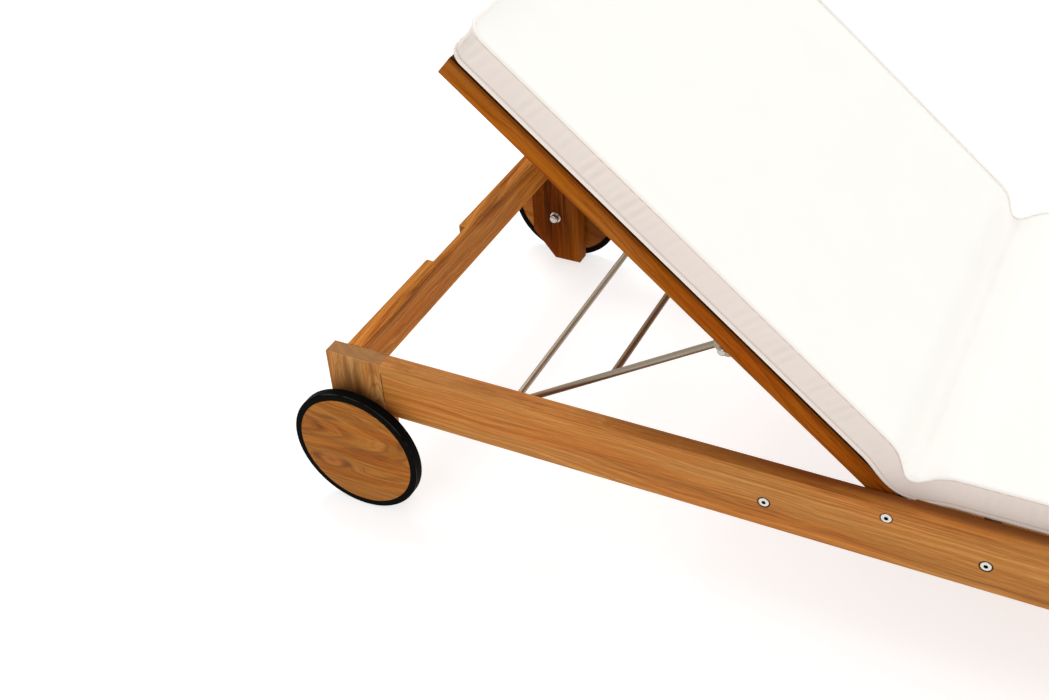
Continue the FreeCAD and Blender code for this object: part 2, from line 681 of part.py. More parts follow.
def hinge_bolts():
    """Shouldered bolts through the side rails that the stiles turn on."""
    body = new_body("hinge_bolts")
    seat = frame_half - D["bolt_sink"]
    head = seat + D["bolt_head_thick"]
    tip = stile_inner + 1
    for side in SIDES.values():
        pegs(body, "YZ_Plane", sideways(side, seat, head), D["bolt_head_thick"],
             [(hinge_y, hinge_z)], D["bolt_head_radius"])
        pegs(body, "YZ_Plane", sideways(side, tip, seat), seat - tip,
             [(hinge_y, hinge_z)], D["hinge_pin_radius"])
    ease(body, D["bolt_head_round"], lambda d, m: abs(m.x) > head.value - 0.01)
    depth = D["socket_depth"]
    for side in SIDES.values():
        bores(body, "YZ_Plane", sideways(side, head - depth, head), depth,
              [(hinge_y, hinge_z)], D["socket_radius"])


def hinge_washers():
    """Washers between the side rails and the stiles."""
    body = new_body("hinge_washers")
    thick = D["side_gap"] - 0.4
    for side in SIDES.values():
        start = sideways(side, inner_half - thick, inner_half)
        pegs(body, "YZ_Plane", start, thick, [(hinge_y, hinge_z)], D["spacer_radius"])
        bores(body, "YZ_Plane", start, thick, [(hinge_y, hinge_z)],
              D["hinge_pin_radius"] + D["running"])


def pivot_bracket(name, side):
    """A steel plate on the inside of a stile that the prop's pivot rod turns in."""
    body = new_body("pivot_bracket_" + name)
    start = sideways(side, stile_inner - D["plate_thick"], stile_inner)
    half_plate = D["plate_width"] * 0.5
    top = -half_stile + D["plate_above"]
    bottom = pivot_z - D["plate_below"]
    block(body, "YZ_Plane", start, D["plate_thick"],
          rectangle(D["prop_along"] - half_plate, D["prop_along"] + half_plate, bottom, top))
    ease(body, D["plate_below"], lambda d, m: d[0] > 0.99 and m.z < pivot_z.value)
    ease(body, Size(4), lambda d, m: d[0] > 0.99 and m.z > pivot_z.value + 5)
    bores(body, "YZ_Plane", start, D["plate_thick"], [(D["prop_along"], pivot_z)],
          D["rod_radius"] + D["running"])
    bores(body, "YZ_Plane", start, D["plate_thick"], bracket_screw_places(), D["screw_radius"] + 0.1)
    raise_backrest(body)


def bracket_screws():
    """Round-head screws of the pivot brackets."""
    body = new_body("bracket_screws")
    seat = stile_inner - D["plate_thick"]
    for side in SIDES.values():
        pegs(body, "YZ_Plane", sideways(side, seat - 2.4, seat), Size(2.4),
             bracket_screw_places(), D["screw_head_radius"])
        pegs(body, "YZ_Plane", sideways(side, seat, stile_inner + 13), D["plate_thick"] + 13,
             bracket_screw_places(), D["screw_radius"])
    ease(body, 1.5, lambda d, m: abs(m.x) < seat.value - 2.39)
    raise_backrest(body)


# ---------------------------------------------------------------- the prop
def place_prop(body):
    """Puts a piece of the prop on its pivot, leaning so that the foot rod is at its height."""
    turn = D["recline"].text
    pivot_y = "(%s + %s * cos(%s) - %s * sin(%s))" % (
        hinge_y.text, D["prop_along"].text, turn, pivot_z.text, turn)
    pivot_height = "(%s + %s * sin(%s) + %s * cos(%s))" % (
        hinge_z.text, D["prop_along"].text, turn, pivot_z.text, turn)
    lean = "-asin((%s - %s) / %s)" % (pivot_height, D["foot_rod_height"].text, D["prop_length"].text)
    body.Placement = FreeCAD.Placement(FreeCAD.Vector(0, 1, 1),
                                       FreeCAD.Rotation(FreeCAD.Vector(1, 0, 0), 1))
    body.setExpression("Placement.Base.y", pivot_y)
    body.setExpression("Placement.Base.z", pivot_height)
    body.setExpression("Placement.Rotation.Angle", lean)


def prop_strut(name, side):
    """One long rod of the prop, welded between the pivot rod and the foot rod."""
    body = new_body("prop_strut_" + name)
    pegs(body, "XZ_Plane", Size(0), D["prop_length"], [(D["prop_half"] * side, Size(0))], D["rod_radius"])
    near = sideways(side, D["prop_half"] - 10, D["prop_half"] + 10)
    bores(body, "YZ_Plane", near, Size(20), [(Size(0), Size(0)), (D["prop_length"], Size(0))],
          D["rod_radius"])
    place_prop(body)


def prop_rod(label, along, half):
    """A rod of the prop across the lounger."""
    body = new_body(label)
    pegs(body, "YZ_Plane", -half, half * 2, [(along, Size(0))], D["rod_radius"])
    place_prop(body)
    return body


def prop_brace_rod():
    """The middle rod, coped to the round of the two struts."""
    body = new_body("prop_brace_rod")
    pegs(body, "YZ_Plane", -D["prop_half"], D["prop_half"] * 2, [(D["prop_brace"], Size(0))],
         D["rod_radius"])
    bores(body, "XZ_Plane", D["prop_brace"] - 10, Size(20),
          [(D["prop_half"], Size(0)), (-D["prop_half"], Size(0))], D["rod_radius"])
    place_prop(body)


def prop_dome_nuts():
    """Dome nuts on the two ends of the pivot rod."""
    body = new_body("prop_dome_nuts")
    base = stile_inner + 0.6
    outer = D["pivot_rod_half"] + 5
    centre = [(Size(0), Size(0))]
    for side in SIDES.values():
        pegs(body, "YZ_Plane", sideways(side, base, outer), outer - base, centre, D["rod_radius"] + 1.5)
    ease(body, 4, lambda d, m: abs(m.x) > outer.value - 0.01)
    for side in SIDES.values():
        bores(body, "YZ_Plane", sideways(side, base, D["pivot_rod_half"]), D["pivot_rod_half"] - base,
              centre, D["rod_radius"])
    place_prop(body)


# ---------------------------------------------------------------- the wheels
AXLE = [(wheel_y, D["wheel_radius"])]


def wheel_disc(name, side):
    """A teak disc with a blind pocket behind for the head of its axle bolt."""
    body = new_body("wheel_disc_" + name)
    pegs(body, "YZ_Plane", sideways(side, disc_back, disc_front), D["disc_thick"], AXLE, D["disc_radius"])
    ease(body, 1.2, lambda d, m: True)
    pocket = D["axle_head_thick"] + 1
    bores(body, "YZ_Plane", sideways(side, disc_back, disc_back + pocket), pocket, AXLE,
          D["axle_head_radius"] + 0.8)


def tyre(name, side):
    """A rubber tyre round a disc, with round shoulders."""
    body = new_body("tyre_" + name)
    front = disc_front - 0.3
    start = sideways(side, front - D["tyre_width"], front)
    pegs(body, "YZ_Plane", start, D["tyre_width"], AXLE, D["wheel_radius"])
    ease(body, D["tyre_round"], lambda d, m: True)
    bores(body, "YZ_Plane", start, D["tyre_width"], AXLE, D["disc_radius"] + D["disc_gap"])


def hub_plate(name, side):
    """A steel plate on the back of a disc that keeps the axle's head in its pocket."""
    body = new_body("hub_plate_" + name)
    start = sideways(side, hub_face, disc_back)
    pegs(body, "YZ_Plane", start, D["hub_thick"], AXLE, D["hub_radius"])
    bores(body, "YZ_Plane", start, D["hub_thick"], AXLE, D["axle_radius"] + D["running"])


def axle_bolts():
    """The two axle bolts, fixed in the legs."""
    body = new_body("axle_bolts")
    tip = inner_half - 9
    for side in SIDES.values():
        pegs(body, "YZ_Plane", sideways(side, tip, disc_back + 0.5), disc_back + 0.5 - tip, AXLE,
             D["axle_radius"])
        pegs(body, "YZ_Plane",
             sideways(side, disc_back + 0.5, disc_back + 0.5 + D["axle_head_thick"]),
             D["axle_head_thick"], AXLE, D["axle_head_radius"])


def axle_spacers():
    """Tubes on the axle bolts that hold the wheels off the legs."""
    body = new_body("axle_spacers")
    length = D["wheel_standoff"] - D["hub_thick"] - 0.3
    for side in SIDES.values():
        start = sideways(side, frame_half, frame_half + length)
        pegs(body, "YZ_Plane", start, length, AXLE, D["spacer_radius"])
        bores(body, "YZ_Plane", start, length, AXLE, D["axle_radius"])


def axle_dome_nuts():
    """Flanged dome nuts on the inner faces of the head legs."""
    body = new_body("axle_dome_nuts")
    flange = Size(1.6)
    nut = Size(6)
    dome = Size(5)
    for side in SIDES.values():
        face = inner_half - flange
        pegs(body, "YZ_Plane", sideways(side, face, inner_half), flange, AXLE, Size(10.5))
        pegs(body, "YZ_Plane", sideways(side, face - nut - dome, face), nut + dome, AXLE, Size(8))
    tip = (inner_half - flange - nut - dome).value
    ease(body, 4.8, lambda d, m: abs(m.x) < tip + 0.01)
    for side in SIDES.values():
        bores(body, "YZ_Plane", sideways(side, inner_half - 9, inner_half), Size(9), AXLE,
              D["axle_radius"])


# ---------------------------------------------------------------- the mattress
def seat_cushion():
    """The seat half of the mattress, with its hinge end leaning away from the backrest."""
    body = new_body("seat_cushion")
    low = D["rail_top"] + D["cushion_clear"]
    high = low + D["cushion_thick"]
    near = hinge_y - D["mitre_gap"]
    block(body, "YZ_Plane", -D["cushion_half"], D["cushion_half"] * 2, [
        (D["cushion_foot"], low),
        (near - (low - hinge_z) * D["mitre_slope"], low),
        (near - (high - hinge_z) * D["mitre_slope"], high),
        (D["cushion_foot"], high),
    ])


def back_cushion():
    """The backrest half of the mattress."""
    body = new_body("back_cushion")
    low = back_slat_top + D["cushion_clear"]
    high = low + D["cushion_thick"]
    block(body, "YZ_Plane", -D["cushion_half"], D["cushion_half"] * 2, [
        (D["mitre_gap"] + low * D["mitre_slope"], low),
        (D["cushion_reach"], low),
        (D["cushion_reach"], high),
        (D["mitre_gap"] + high * D["mitre_slope"], high),
    ])
    raise_backrest(body)


# ---------------------------------------------------------------- the whole lounger
def build():
    """Makes every piece."""
    for name, side in SIDES.items():
        side_rail(name, side)
        head_leg(name, side)
        foot_leg(name, side)
        seat_ledger(name, side)
        ratchet_batten(name, side)
        back_stile(name, side)
        pivot_bracket(name, side)
        prop_strut(name, side)
        wheel_disc(name, side)
        tyre(name, side)
        hub_plate(name, side)
    head_cross_rail()
    cross_rail("foot_cross_rail", foot_face + D["cross_inset"])
    hinge_cross_rail()
    for number in range(SEAT_SLATS):
        seat_slat(number)
    back_rail("back_bottom_rail", D["low_rail_start"], D["low_rail_start"] + D["low_rail_width"],
              rebate_floor)
    back_rail("back_top_rail", D["stile_reach"] - D["back_rail_width"], D["stile_reach"], half_stile)
    for number in range(BACK_SLATS):
        back_slat(number)
    hinge_bolts()
    hinge_washers()
    ledger_bolts()
    seat_slat_screws()
    back_slat_screws()
    bracket_screws()
    prop_rod("prop_pivot_rod", Size(0), D["pivot_rod_half"])
    prop_rod("prop_foot_rod", D["prop_length"], D["foot_rod_half"])
    prop_brace_rod()
    prop_dome_nuts()
    axle_bolts()
    axle_spacers()
    axle_dome_nuts()
    seat_cushion()
    back_cushion()
    doc.recompute()


def check():
    """Stops if any object failed or any piece is empty or broken."""
    for item in doc.Objects:
        if "Invalid" in item.State or "Error" in item.State:
            raise RuntimeError("%s is %s" % (item.Label, item.State))
    for piece in pieces:
        if piece.Shape.isNull() or not piece.Shape.isValid() or not piece.Shape.Solids:
            raise RuntimeError("%s has no valid shape" % piece.Label)


def write():
    """Writes each piece to its own STEP file."""
    os.makedirs("parts", exist_ok=True)
    for piece in pieces:
        piece.Shape.exportStep("parts/%s.step" % piece.Label)
        print("%-22s %3d solids %12.0f mm3" % (piece.Label, len(piece.Shape.Solids), piece.Shape.Volume))
    print(len(pieces), "pieces")


build()
check()
write()
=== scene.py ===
# %% [markdown]
# # A teak sun lounger with a boxed mattress
#
# The joinery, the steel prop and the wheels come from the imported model, at their real size. This script
# gives each of those pieces its finish, sews the mattress, and sets up the studio. Lengths are in metres,
# unless a name says otherwise. +Y runs from the foot end to the head end, where the wheels are.

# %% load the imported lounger
import json
import math
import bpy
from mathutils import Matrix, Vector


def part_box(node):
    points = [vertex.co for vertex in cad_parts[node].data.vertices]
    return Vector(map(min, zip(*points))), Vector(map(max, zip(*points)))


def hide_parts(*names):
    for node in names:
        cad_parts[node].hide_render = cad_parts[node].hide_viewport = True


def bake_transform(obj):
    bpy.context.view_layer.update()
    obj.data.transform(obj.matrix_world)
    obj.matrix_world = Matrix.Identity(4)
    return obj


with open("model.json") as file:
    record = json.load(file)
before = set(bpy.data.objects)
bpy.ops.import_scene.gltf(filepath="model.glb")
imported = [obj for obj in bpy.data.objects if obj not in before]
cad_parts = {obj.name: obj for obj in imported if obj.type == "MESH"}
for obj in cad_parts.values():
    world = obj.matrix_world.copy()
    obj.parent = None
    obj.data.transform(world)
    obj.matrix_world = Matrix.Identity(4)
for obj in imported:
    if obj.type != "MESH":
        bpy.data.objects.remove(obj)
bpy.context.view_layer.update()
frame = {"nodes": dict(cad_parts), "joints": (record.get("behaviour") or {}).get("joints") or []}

from types import SimpleNamespace

import bpy
import numpy as np
from mathutils import Matrix

MM = 0.001
nodes = frame["nodes"]
joints = {joint["name"]: joint for joint in frame["joints"]}

# %% [markdown]
# ## The hinge of the backrest
#
# Everything that crosses the hinge needs its place and the angle at which the backrest rests. They could
# be typed in, but would be wrong as soon as the joinery changed, so both are read from the recline joint:
# it has its own position, and its lower limit is the turn that lays the backrest flat, so the rest angle
# is that limit with its sign changed.

# %% hinge and rest angle
hinge = np.array(joints["backrest_recline"]["pos_m"], float)
recline = -math.radians(joints["backrest_recline"]["range_deg"][0])
print("hinge at", hinge, "rest angle", round(math.degrees(recline), 1), "degrees")


# %% [markdown]
# ## Writing a finish as arithmetic
#
# A finish is a graph of shader nodes. Drawn by hand it soon becomes a tangle, so here a small class wraps
# one socket and overloads the operators: an expression such as 1 - rings * 0.4 adds its Math nodes by
# itself. Numbers stay numbers, colours and vectors go through Mix and Vector Math, and any other node
# comes from one method, Finish.node, which sets the node's own settings before it fills its sockets.


# %% a socket with operators
class Shade:
    """One output socket: a number, a colour or a vector that changes over a surface."""

    def __init__(self, finish, socket):
        self.finish = finish
        self.socket = socket

    def _maths(self, operation, first, second):
        if "VECTOR" in (first_kind(first), first_kind(second)):
            return self.finish.node("VectorMath", {"operation": operation}, {0: first, 1: second})
        return self.finish.node("Math", {"operation": operation}, {0: first, 1: second})

    def __add__(self, other):
        return self._maths("ADD", self, other)

    def __radd__(self, other):
        return self._maths("ADD", other, self)

    def __sub__(self, other):
        return self._maths("SUBTRACT", self, other)

    def __rsub__(self, other):
        return self._maths("SUBTRACT", other, self)

    def __mul__(self, other):
        return self._maths("MULTIPLY", self, other)

    def __rmul__(self, other):
        return self._maths("MULTIPLY", other, self)

    def __truediv__(self, other):
        return self._maths("DIVIDE", self, other)

    def __neg__(self):
        return self._maths("MULTIPLY", self, -1.0)

    def __pow__(self, other):
        return self._maths("POWER", self, other)

    def __abs__(self):
        return self.finish.node("Math", {"operation": "ABSOLUTE"}, {0: self})

    def apply(self, operation, other=0.0):
        """A Math node that has no operator of its own, such as ROUND or SINE."""
        return self.finish.node("Math", {"operation": operation}, {0: self, 1: other})

    def ramp(self, low, high):
        """0 up to low, 1 from high on, and a smooth step between them."""
        values = {"Value": self, "From Min": low, "From Max": high}
        return self.finish.node("MapRange", {"interpolation_type": "SMOOTHSTEP"}, values)

    def blend(self, off, on):
        """The colour off where this is 0 and the colour on where it is 1."""
        values = {"Factor": self, 6: off, 7: on}
        return self.finish.node("Mix", {"data_type": "RGBA"}, values, out=2)

    def parts(self):
        """The three components of a vector."""
        split = self.finish.node("SeparateXYZ", {}, {0: self}).socket.node
        return [Shade(self.finish, socket) for socket in split.outputs]


def first_kind(value):
    """The kind of a socket, or of a plain number."""
    return value.socket.type if isinstance(value, Shade) else "VALUE"


# %% one material
class Finish:
    """A material with one Principled shader, and the method that makes every other node."""

    def __init__(self, name, **constants):
        self.material = bpy.data.materials.new(name)
        self.material.use_nodes = True
        self.tree = self.material.node_tree
        self.shader = self.tree.nodes["Principled BSDF"]
        for socket, value in constants.items():
            self.shader.inputs[socket.replace("_", " ")].default_value = value

    def node(self, kind, settings, values, out=0):
        """Adds a node: its type, its settings, then the values or links of its sockets."""
        made = self.tree.nodes.new("ShaderNode" + kind)
        for name, value in settings.items():
            if name == "stops":
                for index, (place, colour) in enumerate(value):
                    ramp = made.color_ramp.elements
                    stop = ramp.new(place) if index > 1 else ramp[index]
                    stop.position = place
                    stop.color = (*colour, 1)
            else:
                setattr(made, name, value)
        for name, value in values.items():
            if isinstance(value, Shade):
                self.tree.links.new(value.socket, made.inputs[name])
            else:
                made.inputs[name].default_value = value
        return Shade(self, made.outputs[out])

    def place(self, centre=(0, 0, 0), turn=(0, 0, 0), unit=MM):
        """Object coordinates measured from centre in a frame that is turned, in millimetres."""
        here = self.node("TexCoord", {}, {}, out="Object")
        values = {"Vector": here, "Location": centre, "Rotation": turn, "Scale": (unit,) * 3}
        return self.node("Mapping", {"vector_type": "TEXTURE"}, values)

    def vector(self, x, y, z):
        """Three numbers as a vector."""
        return self.node("CombineXYZ", {}, {0: x, 1: y, 2: z})

    def noise(self, where, scale=1.0, detail=2.0, roughness=0.5):
        """Smooth random values from 0 to 1."""
        values = {"Vector": where, "Scale": scale, "Detail": detail, "Roughness": roughness}
        return self.node("TexNoise", {}, values)

    def feed(self, **links):
        """Links what changes over the surface into the shader."""
        for socket, shade in links.items():
            self.tree.links.new(shade.socket, self.shader.inputs[socket.replace("_", " ")])
        return self.material

    def bump(self, height, depth_mm, strength=1.0):
        """A normal from a height between 0 and 1 that stands for depth_mm."""
        values = {"Height": height, "Distance": depth_mm * MM, "Strength": strength}
        return self.node("Bump", {}, values)


def srgb(red, green, blue):
    """A colour given as on a paint card, from 0 to 255, in the linear values that a shader wants."""
    channels = [value / 255 for value in (red, green, blue)]
    return tuple(c / 12.92 if c <= 0.04045 else ((c + 0.055) / 1.055) ** 2.4 for c in channels)


def rgba(colour):
    """The same colour with a full alpha, for a colour socket."""
    return (*colour, 1.0)


# %% [markdown]
# ## Oiled teak
#
# A board is a piece cut out of a trunk. A picture of wood would stop at every edge and show face grain on
# an end, so the pattern fills the board instead: it is worked out in the board's own frame, in
# millimetres, with one coordinate along the grain. The growth rings are cylinders round a pith that lies
# somewhere outside the board and leans a little: their distance field, bent by slow noise, drives the
# broad bands. Noise that is stretched along the grain gives the fibres, and finer noise the dark pores. A
# surface whose normal runs along the grain is end grain: it is greyer and shows the rings in section.
# Rounded edges, where the normal points between the axes, are worn a little lighter. Marks come last:
# knots, soft stains, some of them painted shade, the shadow in an open joint, painted shade in a ring
# round each bolt, and painted shade on a top face under the mattress's edge.
# Each cut of wood has a dark, a middle and a light colour, and its own shine.


# %% the colours of the wood
TEAK = {
    "golden": (srgb(128, 72, 20), srgb(183, 119, 52), srgb(207, 151, 82)),
    "honey": (srgb(104, 50, 6), srgb(182, 113, 38), srgb(216, 154, 74)),
    "tan": (srgb(108, 54, 16), srgb(188, 130, 66), srgb(220, 170, 106)),
    "amber": (srgb(112, 54, 6), srgb(192, 121, 44), srgb(224, 163, 84)),
    "red": (srgb(78, 30, 2), srgb(150, 78, 12), srgb(178, 104, 26)),
    "wheel": (srgb(90, 38, 2), srgb(154, 91, 20), srgb(184, 122, 48)),
}
END_GRAIN = (srgb(118, 74, 34), srgb(186, 136, 80))
BURNT = srgb(52, 26, 10)
RUST = srgb(178, 92, 36)
OLIVE = srgb(166, 116, 66)
# the colour of the painted shade on a rail's top under the mattress's edge
MATTRESS_SHADE = srgb(98, 38, 2)
WARMTH = (1.1, 0.84, 0.55)
SHINE = {"golden": 0.14, "honey": 0.14, "amber": 0.06, "tan": 0.14, "red": 0.02, "wheel": 0.10}
GRAIN_ORDER = {"X": (0, 1, 2), "Y": (1, 2, 0), "Z": (2, 1, 0)}


# %% coordinates in the board
SLAT_SHIFT, SLAT_DEPTH = 2400, 90


def board_coordinates(finish, along, centre, turn, seed, pitch):
    """Coordinates along the grain, across the face and through the board, in millimetres, and the normal.

    In a row of equal boards, round(across / pitch) numbers the board. Across then starts anew on each of
    them, and a random number of the board moves the other two to another stretch of the trunk."""
    order = GRAIN_ORDER[along]
    local = finish.place(centre, (turn, 0, 0)).parts()
    grain, across, through = (local[i] for i in order)
    if pitch:
        board = (across / pitch).apply("ROUND")
        across = across - board * pitch
        chance = finish.node("TexWhiteNoise", {"noise_dimensions": "1D"}, {"W": board + seed})
        grain = grain + chance * SLAT_SHIFT
        through = through + chance * SLAT_DEPTH
    normal = finish.node("TexCoord", {}, {}, out="Normal")
    turned = finish.node("Mapping", {"vector_type": "TEXTURE"}, {"Vector": normal, "Rotation": (turn, 0, 0)})
    return grain, across, through, turned.parts(), order[0]


# %% marks on a board
def knot_marks(colour, knot, grain, away, streaks):
    """A knot: rust in a bell round its middle, dark streaks at its two ends and a burnt core."""
    shoulder = (-(((away - 0.62) / 0.5) ** 2)).apply("EXPONENT")
    ends = shoulder * (abs(grain - knot[0]) / knot[2]).ramp(0.1, 0.9) * streaks
    colour = ((-away * 1.6).apply("EXPONENT") * 0.5).blend(colour, rgba(RUST))
    return (ends * 0.55 + (-away * 16).apply("EXPONENT") * 0.3).blend(colour, rgba(BURNT))


def stain_marks(colour, stain, grain, across, streaks, shade):
    """Soft dark patches, stains on some boards and painted shade on others: a bell of exp(-distance^2) in
    half sizes, broken up by the fibres.
    """
    for place, height, half_length, half_height, strength in stain:
        spread = ((grain - place) / half_length) ** 2 + ((across - height) / half_height) ** 2
        soak = (-spread).apply("EXPONENT") * streaks
        colour = (soak.ramp(0.05, 1.0) * strength).blend(colour, rgba(shade))
    return colour


def gap_mark(colour, gap, grain, across):
    """The shadow in an open joint: a thin line at one side of the board, over a part of its length."""
    side, middle, half = gap
    line = 1 - abs(across - side).ramp(0.9, 2.4)
    length = 1 - abs(grain - middle).ramp(half * 0.8, half)
    return (line * length * 0.85).blend(colour, rgba(BURNT))


def bore_shade_marks(colour, bolts, grain, across):
    """A dark ring of painted shade round each bolt of a row, as in the gap round a sunk head: round((grain -
    first) / spacing), kept between the first and the last bolt, numbers the nearest one, and the ring is
    drawn by the distance from it."""
    first, height, spacing, radius = bolts
    step = grain - first
    nearest = (step / spacing).apply("ROUND").apply("MAXIMUM", 0.0).apply("MINIMUM", BOLTS_IN_ROW - 1.0)
    reach = ((step - nearest * spacing) ** 2 + (across - height) ** 2).apply("SQRT")
    return ((1 - reach.ramp(radius, radius + 1.6)) * 0.8).blend(colour, rgba(BURNT))


def damp_mark(colour, damp, grain, through, fibres, up):
    """Painted shade on a top face: it darkens towards its inner side, under the overhanging edge of the
    mattress.
    """
    inner_sign, begin, end = damp
    inner = (through * inner_sign + (fibres - 0.5) * 9).ramp(-9.0, 8.0) * 0.75 + 0.25
    shadowed = (grain * -1).ramp(-begin, -end) * up.ramp(0.3, 0.8) * inner
    return (shadowed * 0.8).blend(colour, rgba(MATTRESS_SHADE))


# %% how the trunk grew
def growth(finish, grain, across, through, pith, lean, seed, knot):
    """All the fields that a board's colours are made from, as one record.

    Distance from the pith is sqrt(du^2 + dv^2), with du and dv the coordinates across the face and
    through the board less the pith's, which moves by lean for each millimetre along the grain. A knot
    adds a bell to the distance, so the rings flow round it. Every noise is stretched along the grain."""

    def stretched(long, short, shift=(0, 0, 0), detail=1, roughness=0.5):
        where = finish.vector(grain * long, across * short, through * short) + shift
        return finish.noise(where, 1, detail, roughness)

    field = SimpleNamespace(slow=stretched(0.0026, 0.016, (seed, 0, 0), 2))
    du = across - pith[0] - grain * lean[0]
    dv = through - pith[1] - grain * lean[1]
    ripple = stretched(0.011, 0.05, (seed, 0, 7), 2)
    distance = (du * du + dv * dv).apply("SQRT") + field.slow * 44 + ripple * 9
    if knot:
        field.away = ((grain - knot[0]) / knot[2]) ** 2 + ((across - knot[1]) / knot[3]) ** 2
        distance = distance + (-field.away * 0.5).apply("EXPONENT") * (knot[3] * 2.4)
    field.rings = finish.noise(finish.vector(distance * 0.15, seed, grain * 0.0009), 1, 4, 0.7)
    field.bands = finish.noise(finish.vector(distance * 0.034, seed + 4, grain * 0.0006), 1, 1)
    field.fibres = stretched(0.007, 0.34, (0, seed, 0), 4, 0.62)
    field.threads = stretched(0.03, 1.3, (0, 0, seed), 3, 0.6)
    field.pores = stretched(0.12, 2.3, (0, seed, 0)).ramp(0.6, 0.74)
    field.warm = stretched(0.004, 0.04, (seed, 0, 0))
    return field


# %% clean and oiled
def oiled(finish, wood, field):
    """The colour of a clean face: a ramp over rings, bands, fibres and threads, warmer and cooler in slow
    patches, with dark veins where a ring's value is near its middle, and dark pores."""
    dark, middle, light = TEAK[wood]
    tone = field.rings * 0.46 + field.bands * 0.34 + field.fibres * 0.36 + field.threads * 0.3 - 0.23
    colour = finish.node("ValToRGB", {"stops": [(0.33, dark), (0.69, light), (0.50, middle)]}, {0: tone})
    colour = finish.node("Mix", {"data_type": "RGBA", "blend_type": "MULTIPLY"},
                         {"Factor": field.warm.ramp(0.44, 0.7) * 0.6, 6: colour, 7: rgba(WARMTH)}, out=2)
    colour = ((1 - field.warm).ramp(0.5, 0.74) * 0.2).blend(colour, rgba(OLIVE))
    vein = (1 - abs(field.rings - 0.46) * 26).ramp(0.0, 1.0) * (field.bands + field.fibres).ramp(0.85, 1.2)
    return (vein * 0.42 + field.pores * 0.36).blend(colour, rgba(dark))


def sawn_and_worn(colour, wood, field, normal, long_axis):
    """End grain where the normal runs along the grain, and a lighter edge where its largest part is small."""
    facing = [abs(part) for part in normal]
    shade = field.rings * 0.5 + field.threads * 0.3 + field.slow * 0.5 - 0.2
    section = shade.blend(rgba(END_GRAIN[0]), rgba(END_GRAIN[1]))
    colour = (facing[long_axis].ramp(0.72, 0.95) * 0.85).blend(colour, section)
    largest = facing[0].apply("MAXIMUM", facing[1]).apply("MAXIMUM", facing[2])
    worn = (1 - largest).ramp(0.02, 0.28) * (field.fibres + 0.2)
    return (worn * 0.5).blend(colour, rgba(TEAK[wood][2]))


# %% the board itself
def teak(name, along, centre, turn=0.0, wood="golden", pith=(-118.0, 62.0), lean=(0.02, 0.03), seed=0.0,
         pitch=0.0, knot=None, stain=(), gap=None, bolts=None, damp=None):
    """Teak for one board, or for a row of equal boards that repeat every pitch across the grain."""
    finish = Finish(name, Specular_IOR_Level=SHINE[wood])
    grain, across, through, normal, long_axis = board_coordinates(finish, along, centre, turn, seed, pitch)
    field = growth(finish, grain, across, through, pith, lean, seed, knot)
    colour = oiled(finish, wood, field)
    if knot:
        colour = knot_marks(colour, knot, grain, field.away, field.threads + field.fibres)
    # stains, and painted shade where a board lies in shadow
    if stain:
        stain_and_shade_colour = tuple(channel * 0.62 for channel in TEAK[wood][0])
        streaks = field.fibres * 1.3 + field.threads * 0.5 - 0.15
        colour = stain_marks(colour, stain, grain, across, streaks, stain_and_shade_colour)
    if gap:
        colour = gap_mark(colour, gap, grain, across)
    # painted shade in a ring round each bolt
    if bolts:
        colour = bore_shade_marks(colour, bolts, grain, across)
    # painted shade on a rail's top under the mattress's edge
    if damp:
        colour = damp_mark(colour, damp, grain, through, field.fibres, normal[2])
    colour = sawn_and_worn(colour, wood, field, normal, long_axis)
    gloss = 0.5 + field.fibres * 0.16 - field.rings * 0.1 + field.pores * 0.1
    height = field.fibres * 0.5 + field.threads * 0.3 - field.pores * 0.35 + field.rings * 0.2
    return finish.feed(Base_Color=colour, Roughness=gloss, Normal=finish.bump(height, 0.35, 0.6))


# %% putting a finish on
def dress(names, material):
    """Gives every named piece of the frame one material."""
    for name in names:
        slots = nodes[name].data.materials
        slots.clear()
        slots.append(material)


def middle_of(name):
    """Middle of a piece's box."""
    low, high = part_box(name)
    return tuple((low + high) / 2)


def cut_board(name, along, **cut):
    """Gives one board a teak of its own, measured from the board's middle."""
    dress([name], teak("teak_" + name, along, middle_of(name), **cut))


# %% [markdown]
# ## Which board is cut how
#
# The box frame is sawn from several planks. One finish for all would be less to write, but neighbours
# would share one pattern, so each board gets its own pith and seed. The rails run along Y, the legs along
# Z and the cross rails along X. Stains and painted shade are placed along and across the board, in
# millimetres from its middle, as (along, across, half length, half height, strength). The near head leg
# has a few above its tyre, partly dark figure and partly painted shade of the tyre, and the far one is
# dark all over with painted shade. The bolts' places come from the box of the bolts.

# %% where the bolts are
SIDE_SIGNS = {"left": -1, "right": 1}
BOLTS_IN_ROW = 5
BORE_RADIUS = 8.4
bolts_low, bolts_high = (np.array(corner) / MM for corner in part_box("ledger_bolts"))
head_radius = (bolts_high[2] - bolts_low[2]) / 2
first_bolt, bolt_height = bolts_low[1:] + head_radius
bolt_spacing = (bolts_high[1] - bolts_low[1] - 2 * head_radius) / (BOLTS_IN_ROW - 1)
print("first bolt at", round(first_bolt, 1), "mm, then every", round(bolt_spacing, 1), "mm")
